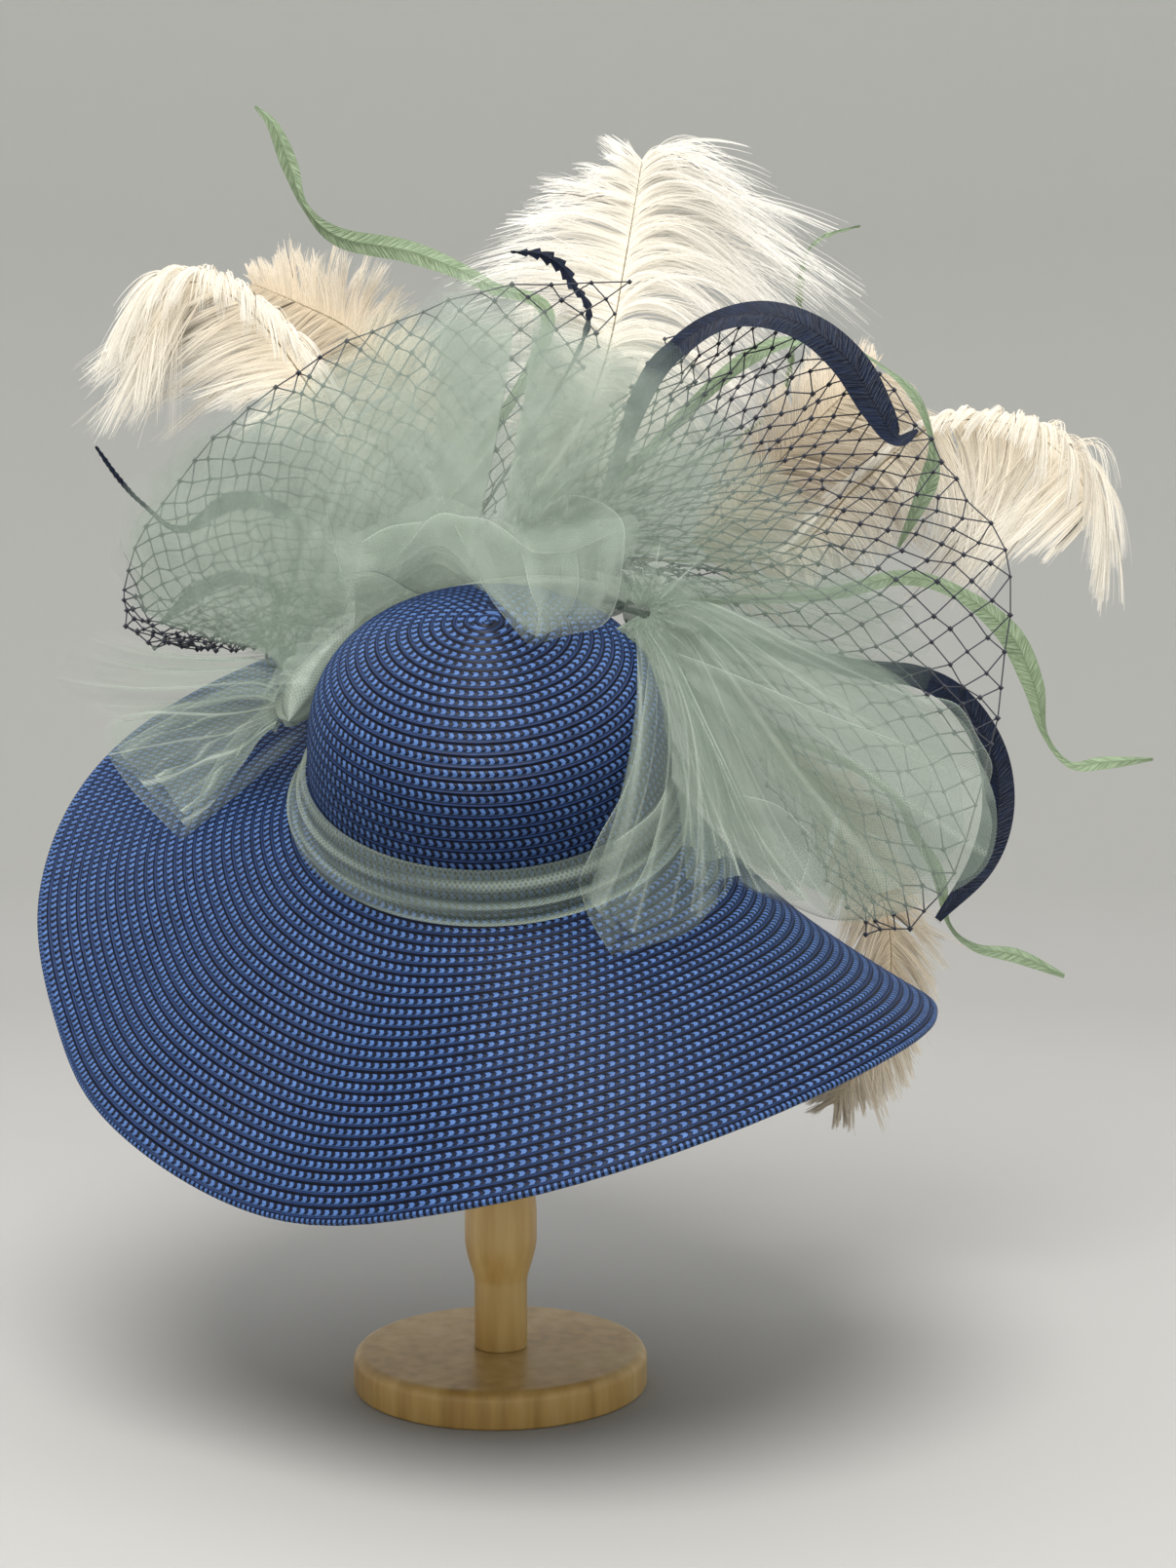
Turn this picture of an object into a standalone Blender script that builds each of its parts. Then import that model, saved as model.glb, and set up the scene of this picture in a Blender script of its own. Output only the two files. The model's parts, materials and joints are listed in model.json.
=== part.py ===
"""Race day hat on a plain wooden stand.

A wide-brimmed braided straw hat sits tilted on a turned stand. Behind the crown
runs a gathered roll of tulle, and all the trimmings are sewn to it: ruffled tulle
fans, two arches of coarse netting, ostrich plumes and curled quills.

World frame: +X to the wearer's left, +Y to the back, +Z up, origin at the centre
of the stand's underside. Tables are in millimetres and degrees.
"""

import math

import bpy
import numpy as np

MM = 0.001
WORLD_BACK = np.array([0.0, 1.0, 0.0])
QUILL_FACING = np.array([0.0, 0.88, -0.48])

# Driving dimensions, in millimetres
STAND_BASE_RADIUS = 73.0
STAND_BASE_HEIGHT = 18.0
STAND_POST_RADIUS = 13.2
STAND_BULGE_RADIUS = 18.0
STAND_HEAD_RADIUS = 47.0
STAND_HEAD_BOTTOM = 314.0
STAND_HEAD_TOP = 390.5
SEAT_GAP = 0.3

HAT_CENTRE = np.array([-4.1, 0.0, 289.7])
HAT_TILT = math.radians(28.9)
CROWN_HALF_WIDTH = 87.9
OVAL_RATIO = 1.15
CROWN_HEIGHT = 99.0
CROWN_SHOULDER = 4.70
CROWN_ROUNDNESS = 1.81
CROWN_WALL = 2.5

BRIM_HALF_WIDTH = 89.9
BRIM_REACH = 151.6
BRIM_WALL = 2.0
BRIM_CURL = -0.09
BRIM_LIP_CLEARANCE = 0.7

TULLE_WALL = 1.6
NET_WALL = 1.4
NET_STRAND = 1.5
QUILL_WALL = 1.3

ROLL_RADIUS = 10.1
ROLL_RIDGE = 0.9
ROLL_RIDGES = 5
ROLL_START = 40.0
ROLL_END = 176.0
ROLL_HEIGHT_START = 71.0
ROLL_HEIGHT_END = 40.0
ROOT_GAP = 0.6
SHEET_GAP = 0.95
KNOT_GAP = 0.1
STEM_LEAD = 0.2
KNOT_RADIUS = 13.0
KNOT_ANGLE = 27.0
KNOT_HEIGHT = 74.0
BARB_STIFFNESS = 0.8

# Droop of the brim below the hat's own level, in degrees, every 22.5 degrees
# round the oval, from the wearer's left, by the back, the right and the front.
BRIM_DROOP = (44, 55, 59, 40, 16, 10, 11, 14, 21, 30, 28, 29, 14, 6, 9, 24)


# Curves and frames


def blend_four(before, start, end, after, part):
    """The Catmull-Rom blend of four neighbouring values."""
    slope = end - before
    bend = 2 * before - 5 * start + 4 * end - after
    twist = 3 * (start - end) + after - before
    return start + 0.5 * part * (slope + part * (bend + part * twist))


def along(rows, places):
    """Smooth values of a table with evenly spaced rows, at places from 0 to 1."""
    rows = np.asarray(rows, float)
    last = len(rows) - 1
    spot = np.clip(np.asarray(places, float), 0, 1) * last
    low = np.minimum(spot.astype(int), last - 1)
    part = (spot - low)[:, None]
    before = np.where((low > 0)[:, None], rows[np.maximum(low - 1, 0)], 2 * rows[low] - rows[low + 1])
    far = np.minimum(low + 2, last)
    beyond = 2 * rows[low + 1] - rows[low]
    after = np.where((low + 2 <= last)[:, None], rows[far], beyond)
    return blend_four(before, rows[low], rows[low + 1], after, part)


def round_table(values, angles):
    """Smooth values of a table that runs once round, at angles in radians."""
    values = np.asarray(values, float)
    spot = np.asarray(angles) / (2 * math.pi) * len(values) % len(values)
    low = spot.astype(int)
    four = [values[(low + step) % len(values)] for step in (-1, 0, 1, 2)]
    return blend_four(*four, spot - low)


def unit(vectors):
    vectors = np.asarray(vectors, float)
    return vectors / np.linalg.norm(vectors, axis=-1, keepdims=True)


def turn_to_world(vectors):
    """Directions in the hat's own tilted frame, in the world."""
    x, y, z = np.moveaxis(np.asarray(vectors, float), -1, 0)
    sine = math.sin(HAT_TILT)
    cosine = math.cos(HAT_TILT)
    return np.stack([x, y * cosine - z * sine, y * sine + z * cosine], -1)


def hat_to_world(points):
    return turn_to_world(points) + HAT_CENTRE


def oval_out(angle):
    """Level outward direction of the oval at an angle."""
    level = np.stack([np.cos(angle), np.sin(angle) / OVAL_RATIO, 0 * angle], -1)
    return unit(level)


def crown_radius(height):
    rise = 1 - (height / CROWN_HEIGHT) ** CROWN_SHOULDER
    return CROWN_HALF_WIDTH * np.maximum(rise, 0) ** (1 / CROWN_ROUNDNESS)


def crown_point(angle, height, out=0.0):
    """A point of the crown's outer skin, or that far off it along its normal."""
    angle = np.asarray(angle, float)
    height = height + 0 * angle
    radius = crown_radius(height)
    skin = np.stack([radius * np.cos(angle), radius * OVAL_RATIO * np.sin(angle), height], -1)
    slope = (radius - crown_radius(height + 0.5)) / 0.5
    normal = unit(oval_out(angle) + slope[..., None] * np.array([0.0, 0.0, 1.0]))
    return skin + out * normal


# Mesh makers


def material(name, colour, roughness):
    made = bpy.data.materials.new(name)
    made.use_nodes = True
    shader = made.node_tree.nodes["Principled BSDF"]
    shader.inputs["Base Color"].default_value = (*colour, 1)
    shader.inputs["Roughness"].default_value = roughness
    made.diffuse_color = (*colour, 1)
    return made


STRAW = material("straw", (0.055, 0.105, 0.30), 0.55)
WOOD = material("wood", (0.70, 0.47, 0.26), 0.45)
TULLE = material("tulle", (0.60, 0.68, 0.58), 0.8)
NET = material("net", (0.03, 0.035, 0.06), 0.7)
PLUME = material("plume", (0.92, 0.83, 0.68), 0.85)
GREEN_QUILL = material("green_quill", (0.42, 0.62, 0.42), 0.55)
NAVY_QUILL = material("navy_quill", (0.02, 0.03, 0.08), 0.5)


def add_object(name, points, faces, finish):
    mesh = bpy.data.meshes.new(name)
    mesh.from_pydata((np.asarray(points) * MM).tolist(), [], faces)
    mesh.validate()
    mesh.shade_smooth()
    mesh.set_sharp_from_angle(angle=math.radians(50))
    mesh.materials.append(finish)
    piece = bpy.data.objects.new(name, mesh)
    bpy.context.scene.collection.objects.link(piece)
    return piece


def thicken(piece, wall, side):
    """Gives a sheet its wall: side 0 is to both sides, -1 behind its faces."""
    solidify = piece.modifiers.new("wall", "SOLIDIFY")
    solidify.thickness = wall * MM
    solidify.offset = side


def grid_faces(rows, columns, wrap=False):
    """Four-sided faces of a grid of points, numbered row by row."""
    faces = []
    for row in range(rows - 1):
        for column in range(columns if wrap else columns - 1):
            right = (column + 1) % columns
            low = row * columns
            high = low + columns
            faces.append((low + column, low + right, high + right, high + column))
    return faces


def add_turned(name, profile, sides, finish):
    """A solid turned about the world's Z axis. Profile rows: radius, height."""
    angles = np.arange(sides) * 2 * math.pi / sides
    rings = [[(r * math.cos(a), r * math.sin(a), z) for a in angles] for r, z in profile]
    points = np.array(rings).reshape(-1, 3)
    faces = grid_faces(len(profile), sides, wrap=True)
    last = (len(profile) - 1) * sides
    faces.append(tuple(reversed(range(sides))))
    faces.append(tuple(range(last, last + sides)))
    return add_object(name, points, faces, finish)


def sheet_grid(lines, folds, depth, columns, rows):
    """A ruffled sheet between its root line and its rim.

    lines holds four tables of points across the sheet: the root, two handle lines
    and the rim. The folds run from root to rim and deepen on the way out.
    """
    across = np.linspace(0, 1, columns + 1)
    root, near, far, rim = [along(line, across) for line in lines]
    out = np.linspace(0, 1, rows + 1)[:, None, None]
    smooth = (1 - out) ** 3 * root + 3 * (1 - out) ** 2 * out * near
    smooth = smooth + 3 * (1 - out) * out**2 * far + out**3 * rim
    facing = unit(np.cross(np.gradient(smooth, axis=1), np.gradient(smooth, axis=0)))
    wave = np.sin(2 * math.pi * folds * across)[None, :, None]
    return smooth + facing * wave * depth * out**1.6


def add_sheet(name, lines, folds, depth, rows, steps_per_fold=4):
    columns = folds * steps_per_fold
    points = sheet_grid(lines, folds, depth, columns, rows)
    faces = grid_faces(rows + 1, columns + 1)
    piece = add_object(name, points.reshape(-1, 3), faces, TULLE)
    thicken(piece, TULLE_WALL, 0)
    return piece


def add_net(name, lines, columns, rows):
    """A sheet pierced with diamond cells, as coarse netting is."""
    grid = sheet_grid(lines, 0, 0.0, columns, rows).reshape(-1, 3)
    width = columns + 1
    faces = []
    for row in range(rows + 1):
        for column in range(width):
            if (row + column) % 2 == 0:
                continue
            ring = [(row - 1, column), (row, column + 1), (row + 1, column), (row, column - 1)]
            inside = [r * width + c for r, c in ring if 0 <= r <= rows and 0 <= c <= columns]
            if len(inside) > 2:
                faces.append(tuple(inside))
    used = sorted({corner for face in faces for corner in face})
    order = {corner: place for place, corner in enumerate(used)}
    points = [list(point) for point in grid[used]]
    strips = []
    for face in faces:
        outer = [order[corner] for corner in face]
        corners = np.array([points[corner] for corner in outer])
        centre = corners.mean(axis=0)
        reach = np.linalg.norm(corners - centre, axis=1).min()
        shrink = 1 - 2 * NET_STRAND / reach
        inner = []
        for corner in corners:
            inner.append(len(points))
            points.append(list(centre + (corner - centre) * shrink))
        for side in range(len(outer)):
            following = (side + 1) % len(outer)
            strips.append((outer[side], outer[following], inner[following], inner[side]))
    piece = add_object(name, points, strips, NET)
    thicken(piece, NET_WALL, 0)
    return piece


def add_ribbon(name, rows, steps, finish, root):
    """A flat curled quill. Rows: x, y, z, width and twist in degrees."""
    start, lead = stem_start(*root, rows[0])
    first = [*start, rows[0][3] * 0.2, rows[0][4]]
    second = [*lead, rows[0][3] * 0.35, rows[0][4]]
    path = along([first, second, *rows], np.linspace(0, 1, steps + 1))
    centre = path[:, :3]
    forward = unit(np.gradient(centre, axis=0))
    flat = unit(np.cross(forward, QUILL_FACING))
    raised = np.cross(flat, forward)
    twist = np.radians(path[:, 4])[:, None]
    edge = flat * np.cos(twist) + raised * np.sin(twist)
    half = path[:, 3:4] / 2
    grid = np.stack([centre - edge * half, centre + edge * half], axis=1)
    piece = add_object(name, grid.reshape(-1, 3), grid_faces(steps + 1, 2), finish)
    thicken(piece, QUILL_WALL, 0)
    return piece


# Roots on the gathered roll and the knot


def roll_height(angle):
    part = (np.degrees(angle) - ROLL_START) / (ROLL_END - ROLL_START)
    return ROLL_HEIGHT_START + (ROLL_HEIGHT_END - ROLL_HEIGHT_START) * part


def roll_centre(degrees):
    angle = np.radians(np.asarray(degrees, float))
    return crown_point(angle, roll_height(angle), ROLL_RADIUS + ROLL_RIDGE + 0.6)


def roll_radius(lift):
    """The roll's radius towards a lift in degrees: five ridges and five grooves."""
    return ROLL_RADIUS + ROLL_RIDGE * np.cos(ROLL_RIDGES * np.radians(np.asarray(lift, float)))


def roll_slot(degrees, lift, distance):
    """A point off the roll's middle line: lift 0 is outward, 90 up the crown."""
    angle = np.radians(np.asarray(degrees, float))
    lift = np.radians(np.asarray(lift, float))
    up = np.array([0.0, 0.0, 1.0])
    aim = np.cos(lift)[..., None] * oval_out(angle) + np.sin(lift)[..., None] * up
    return hat_to_world(roll_centre(degrees) + distance * aim)


def knot_centre():
    out = KNOT_RADIUS - 0.8
    return hat_to_world(crown_point(np.radians(KNOT_ANGLE), KNOT_HEIGHT, out))


def stem_start(degrees, lift, first_row):
    """The two first points of a stem that leaves the roll on its way to a table's first row."""
    start = roll_slot(degrees, lift, roll_radius(lift) + ROOT_GAP)
    aim = unit(start - roll_slot(degrees, lift, 0.0))
    run = np.linalg.norm(np.array(first_row[:3]) - start)
    return start, start + aim * STEM_LEAD * run


def roll_lines(first, last, lift, lead, table):
    """Root, handle and rim lines of a sheet that leaves the roll between two angles."""
    degrees = np.linspace(first, last, 9)
    root = roll_slot(degrees, lift, roll_radius(lift) + SHEET_GAP)
    near = roll_slot(degrees, lift, ROLL_RADIUS + lead)
    rows = np.array(table, float)
    return root, near, rows[:, 0:3], rows[:, 3:6]


def knot_lines(first_aim, last_aim, lead, table):
    part = np.linspace(0, 1, 9)[:, None]
    aims = unit(np.array(first_aim) * (1 - part) + np.array(last_aim) * part)
    root = knot_centre() + aims * (KNOT_RADIUS + KNOT_GAP)
    near = knot_centre() + aims * (KNOT_RADIUS + lead)
    rows = np.array(table, float)
    return root, near, rows[:, 0:3], rows[:, 3:6]


# The stand


def add_stand():
    edge = 5.0
    top = STAND_BASE_HEIGHT
    base = (
        (STAND_BASE_RADIUS - 1.5, 0.0),
        (STAND_BASE_RADIUS, 1.5),
        (STAND_BASE_RADIUS, top - edge),
        (STAND_BASE_RADIUS - edge * 0.3, top - edge * 0.3),
        (STAND_BASE_RADIUS - edge, top),
    )
    add_turned("stand_base", base, 28, WOOD)
    post_radius = STAND_POST_RADIUS
    swell = STAND_BULGE_RADIUS - STAND_POST_RADIUS
    # columns: share of the swell, height
    swells = ((0.0, 52.0), (0.35, 57.0), (0.85, 66.0), (1.0, 78.0), (0.85, 92.0), (0.35, 106.0), (0.0, 114.0))
    post = [(post_radius, top + SEAT_GAP), *((post_radius + swell * share, z) for share, z in swells)]
    post.append((post_radius, STAND_HEAD_BOTTOM - SEAT_GAP))
    add_turned("stand_post", post, 16, WOOD)
    head_height = STAND_HEAD_TOP - STAND_HEAD_BOTTOM
    head = [(STAND_HEAD_RADIUS - 3.0, STAND_HEAD_BOTTOM)]
    for step in range(5):
        turn = math.radians(8 + 17.5 * step)
        rise = 3.0 + (head_height - 3.0) * math.sin(turn)
        head.append((STAND_HEAD_RADIUS * math.cos(turn), STAND_HEAD_BOTTOM + rise))
    add_turned("stand_head", head, 20, WOOD)


# Crown, brim and band


def add_crown():
    heights = np.array([-1.0, 25.0, 48.0, 65.0, 78.0, 88.0, 95.5])
    sides = 40
    angle = np.arange(sides) * 2 * math.pi / sides
    rings = [crown_point(angle, max(height, 0.0)) + (0, 0, min(height, 0.0)) for height in heights]
    points = np.concatenate([*rings, [[0, 0, CROWN_HEIGHT]]])
    faces = grid_faces(len(heights), sides, wrap=True)
    low = (len(heights) - 1) * sides
    pole = len(points) - 1
    faces += [(low + side, low + (side + 1) % sides, pole) for side in range(sides)]
    piece = add_object("crown", hat_to_world(points), faces, STRAW)
    thicken(piece, CROWN_WALL, -1)


def brim_rings(angle, steps):
    """Rings of the brim's upper surface, from the lip at the crown to the edge."""
    droop = np.radians(round_table(BRIM_DROOP, angle))
    out = oval_out(angle)
    radius = BRIM_HALF_WIDTH
    place = np.stack([radius * np.cos(angle), radius * OVAL_RATIO * np.sin(angle), 0 * angle], -1)
    rings = [crown_point(angle, 0.0, BRIM_LIP_CLEARANCE), place]
    stride = BRIM_REACH / steps
    for step in range(steps):
        lean = droop * (1 + BRIM_CURL * ((2 * step + 1) / steps - 1))
        fall = np.array([0.0, 0.0, 1.0]) * np.sin(lean)[:, None]
        place = place + stride * (np.cos(lean)[:, None] * out - fall)
        rings.append(place)
    return rings


def add_brim():
    sides = 54
    steps = 5
    angle = np.arange(sides) * 2 * math.pi / sides
    rings = brim_rings(angle, steps)
    points = hat_to_world(np.concatenate(rings[::-1]))
    faces = grid_faces(len(rings), sides, wrap=True)
    piece = add_object("brim", points, faces, STRAW)
    thicken(piece, BRIM_WALL, -1)


def add_band():
    """Tulle gathered lengthwise: a soft stepped slope from the crown to the brim."""
    # columns: distance out from the crown, height above the brim
    folds = ((12.0, 3.4), (10.0, 8.5), (6.0, 13.0), (1.6, 26.5))
    sides = 36
    angle = np.arange(sides) * 2 * math.pi / sides
    rings = [crown_point(angle, height, out) for out, height in folds]
    faces = grid_faces(len(rings), sides, wrap=True)
    piece = add_object("hat_band", hat_to_world(np.concatenate(rings)), faces, TULLE)
    thicken(piece, TULLE_WALL, 0)


# Tulle


def add_gather():
    """The gathered roll, ridged lengthwise, that carries the trimmings."""
    sides = 2 * ROLL_RIDGES
    steps = 12
    degrees = np.linspace(ROLL_START, ROLL_END, steps + 1)
    lifts = np.arange(sides) * 360 / sides
    rings = [[roll_slot(place, lift, roll_radius(lift)) for lift in lifts] for place in degrees]
    points = np.array(rings).reshape(-1, 3)
    faces = [tuple(reversed(face)) for face in grid_faces(steps + 1, sides, wrap=True)]
    last = steps * sides
    faces.append(tuple(range(sides)))
    faces.append(tuple(reversed(range(last, last + sides))))
    return add_object("tulle_gather", points, faces, TULLE)


def add_knot():
    """A tied ball of tulle with ridges from pole to pole."""
    sides = 12
    centre = knot_centre()
    points = [centre + (0, 0, KNOT_RADIUS)]
    for level in range(1, 6):
        turn = math.pi * level / 6
        for side in range(sides):
            angle = 2 * math.pi * side / sides
            radius = KNOT_RADIUS if side % 2 == 0 else KNOT_RADIUS * 0.9
            across = radius * math.sin(turn)
            offset = (across * math.cos(angle), across * math.sin(angle), radius * math.cos(turn))
            points.append(centre + offset)
    points.append(centre - (0, 0, KNOT_RADIUS))
    faces = []
    for side in range(sides):
        following = (side + 1) % sides
        faces.append((0, 1 + side, 1 + following))
        for level in range(4):
            low = 1 + level * sides
            high = low + sides
            faces.append((low + side, high + side, high + following, low + following))
        low = 1 + 4 * sides
        faces.append((low + side, len(points) - 1, low + following))
    return add_object("tulle_knot", points, faces, TULLE)


# Each row is one spoke of a sheet: its far handle x, y, z and its rim x, y, z.
CLOUD_LEFT = (
    (-155, 55, 366, -205, 88, 392),
    (-160, 58, 392, -212, 92, 440),
    (-150, 58, 418, -192, 100, 474),
    (-115, 60, 446, -140, 100, 510),
    (-75, 60, 465, -85, 100, 545),
    (-35, 60, 475, -35, 100, 563),
    (0, 62, 470, 5, 100, 561),
)
CLOUD_RIGHT = (
    (10, 54, 466, 16, 90, 557),
    (28, 50, 460, 45, 86, 540),
    (48, 46, 455, 75, 83, 530),
    (68, 44, 445, 106, 80, 503),
    (88, 42, 432, 140, 77, 470),
    (106, 40, 418, 170, 72, 436),
    (125, 38, 404, 206, 66, 404),
    (135, 34, 390, 214, 56, 378),
)
FAN_RIGHT = (
    (130, 14, 374, 196, 42, 357),
    (144, 10, 354, 228, 42, 333),
    (150, 4, 336, 248, 40, 306),
    (148, -4, 318, 253, 36, 277),
    (140, -8, 304, 243, 30, 252),
    (128, -12, 298, 212, 24, 236),
    (118, -16, 296, 176, 12, 228),
    (110, -20, 300, 148, -4, 244),
    (102, -26, 308, 114, -26, 262),
)
POUF = (
    (-80, 5, 440, -77, -5, 396),
    (-58, 0, 455, -52, -20, 401),
    (-30, -8, 470, -28, -32, 413),
    (-4, -25, 462, -6, -50, 393),
    (20, -45, 452, 17, -74, 371),
    (44, -38, 450, 36, -62, 375),
    (62, -25, 455, 52, -48, 380),
    (76, 0, 450, 66, -12, 412),
)
TAIL_LEFT = (
    (-128, 26, 308, -162, 14, 278),
    (-140, 45, 320, -188, 54, 298),
    (-150, 75, 332, -221, 106, 320),
    (-148, 105, 348, -200, 140, 340),
)
WING_LEFT = (
    (-155, 30, 330, -216, 56, 330),
    (-165, 36, 338, -236, 66, 348),
    (-165, 40, 346, -236, 72, 366),
    (-152, 40, 354, -205, 68, 376),
)
VEIL_LEFT = (
    (-150, 74, 360, -175, 98, 368),
    (-160, 84, 368, -204, 106, 380),
    (-162, 90, 384, -211, 114, 405),
    (-150, 95, 406, -192, 122, 447),
    (-125, 98, 430, -160, 128, 490),
    (-95, 100, 450, -118, 130, 525),
    (-60, 100, 465, -66, 130, 550),
    (-20, 100, 475, -10, 130, 570),
    (24, 100, 475, 68, 130, 570),
)
VEIL_RIGHT = (
    (34, 100, 466, 86, 128, 542),
    (52, 98, 466, 118, 126, 549),
    (72, 98, 464, 150, 124, 550),
    (90, 96, 458, 180, 126, 540),
    (106, 94, 448, 206, 126, 516),
    (122, 92, 436, 229, 124, 490),
    (138, 88, 420, 250, 120, 456),
    (156, 84, 400, 275, 112, 415),
    (160, 78, 372, 270, 104, 352),
    (158, 70, 345, 258, 92, 306),
    (154, 62, 318, 242, 76, 252),
    (146, 52, 298, 214, 60, 224),
    (138, 44, 290, 186, 44, 218),
)

# Rows: near handle, far handle and rim of the tail in front.
TAIL_FRONT = (
    (70, -68, 358, 66, -108, 302, 42, -94, 252),
    (80, -60, 354, 80, -98, 302, 58, -112, 234),
    (88, -52, 350, 94, -84, 303, 80, -106, 236),
    (94, -44, 347, 104, -68, 305, 100, -88, 242),
    (98, -36, 345, 108, -54, 308, 112, -56, 254),
)


def add_front_tail():
    centre = knot_centre()
    part = np.linspace(0, 1, 5)[:, None]
    first_aim = np.array([-0.45, -0.80, -0.30])
    last_aim = np.array([0.25, -0.85, -0.45])
    aims = unit(first_aim * (1 - part) + last_aim * part)
    root = centre + aims * (KNOT_RADIUS + KNOT_GAP)
    rows = np.array(TAIL_FRONT, float)
    lines = (root, rows[:, 0:3], rows[:, 3:6], rows[:, 6:9])
    add_sheet("tulle_tail_front", lines, 3, 4.0, 6)


def add_tulle():
    add_gather()
    add_knot()
    add_sheet("tulle_cloud_left", roll_lines(168, 97, 75, 34, CLOUD_LEFT), 6, 11.0, 4)
    add_sheet("tulle_cloud_right", roll_lines(90, 50, 75, 34, CLOUD_RIGHT), 6, 10.0, 4)
    fan = knot_lines((0.85, -0.05, 0.35), (0.66, -0.35, -0.66), 24, FAN_RIGHT)
    add_sheet("tulle_fan_right", fan, 6, 9.0, 5)
    add_sheet("tulle_pouf", roll_lines(140, 52, 112, 26, POUF), 5, 6.0, 5)
    add_sheet("tulle_tail_left", roll_lines(174, 156, -36, 22, TAIL_LEFT), 4, 4.0, 4)
    add_sheet("tulle_wing_left", roll_lines(173, 155, 35, 22, WING_LEFT), 3, 5.0, 4)
    add_front_tail()


def add_veils():
    add_net("veil_left", roll_lines(149, 100, 35, 20, VEIL_LEFT), 10, 5)
    add_net("veil_right", roll_lines(92, 46, 35, 20, VEIL_RIGHT), 14, 5)


# Plumes. Rows run along the shaft: x, y, z and the length of the barbs to each side,
# first to the right of its way as the camera sees it, then to the left.
PLUME_TOP = (
    (24, 118, 452, 20, 30),
    (42, 150, 500, 42, 56),
    (56, 170, 545, 72, 76),
    (64, 174, 588, 90, 80),
    (70, 170, 622, 90, 62),
    (74, 162, 646, 80, 32),
)
PLUME_LEFT = (
    (-90, 134, 476, 14, 8),
    (-116, 158, 520, 22, 44),
    (-143, 170, 556, 26, 62),
    (-168, 164, 576, 28, 66),
    (-190, 152, 575, 27, 58),
    (-206, 144, 564, 20, 44),
)
PLUME_LEFT_BACK = (
    (-40, 152, 486, 16, 24),
    (-62, 180, 522, 44, 40),
    (-94, 192, 556, 52, 44),
    (-128, 196, 574, 44, 40),
    (-152, 196, 584, 30, 34),
)
PLUME_RIGHT = (
    (150, 140, 422, 16, 8),
    (196, 158, 462, 44, 12),
    (238, 166, 496, 60, 14),
    (272, 168, 501, 64, 20),
    (300, 166, 492, 66, 36),
    (320, 158, 472, 56, 40),
    (328, 148, 446, 36, 26),
)
PLUME_INNER = (
    (104, 158, 430, 26, 20),
    (138, 176, 462, 40, 32),
    (166, 182, 492, 44, 36),
    (190, 184, 516, 34, 30),
    (208, 182, 530, 18, 20),
)
PLUME_LOWER = (
    (134, 90, 322, 10, 8),
    (180, 120, 286, 28, 26),
    (208, 134, 232, 34, 32),
    (214, 138, 186, 34, 30),
    (202, 136, 144, 30, 26),
    (182, 134, 114, 22, 20),
)


class Plume:
    """An ostrich plume: a shaft, and barbs that leave both its sides and fall.

    Each side gives how far its barbs lean along the shaft, and how they fall in x, y, z.
    """

    def __init__(self, root, rows, right, left):
        start, lead = stem_start(*root, rows[0])
        self.rows = np.array([[*start, 0, 0], [*lead, 0, 0], *rows], float)
        self.sides = {-1: right, 1: left}
        self.bare = 2 / (len(self.rows) - 1)

    def shaft(self, places):
        return along(self.rows[:, :3], places)

    def frame(self, places):
        """Forward along the shaft, sideways in the plume's plane, and its facing."""
        step = 0.01
        forward = unit(self.shaft(places + step) - self.shaft(places - step))
        side = unit(np.cross(forward, WORLD_BACK))
        return forward, side, np.cross(side, forward)

    def barb(self, place, side, part):
        """The point at a share of the way along the barb that leaves at a place."""
        places = np.array([place])
        forward, across, _ = self.frame(places)
        length = along(self.rows[:, 3:5], places)[0, 0 if side < 0 else 1]
        lean, *fall = self.sides[side]
        aim = unit(side * across[0] + lean * forward[0])
        against = max(0.0, -np.dot(aim, unit(fall)))
        bend = np.array(fall) * (1 - BARB_STIFFNESS * against)
        return self.shaft(places)[0] + length * (aim * part + bend * part**2)


def add_plume(name, plume, locks, shaft_half=1.7):
    stem = np.linspace(0, plume.bare, 4)
    places = np.concatenate([stem[:-1], np.linspace(plume.bare, 1, locks + 1)])
    centres = plume.shaft(places)
    _, across, facing = plume.frame(np.clip(places, 0.01, 0.99))
    corners = ((1, 1), (1, -1), (-1, -1), (-1, 1))
    points = []
    for centre, side, face in zip(centres, across, facing):
        points += [centre + shaft_half * (a * side + b * face) for a, b in corners]
    faces = [(3, 2, 1, 0), tuple(range(len(points) - 4, len(points)))]
    for station in range(len(places) - 1):
        low = 4 * station
        high = low + 4
        middle = (places[station] + places[station + 1]) / 2
        for edge in range(4):
            following = (edge + 1) % 4
            quad = (low + edge, low + following, high + following, high + edge)
            side = {0: 1, 2: -1}.get(edge)
            if side is None or middle < plume.bare:
                faces.append(quad)
            else:
                add_lock(points, faces, quad, plume, (middle, side, station, facing[station]))
    return add_object(name, points, faces, PLUME)


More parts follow.
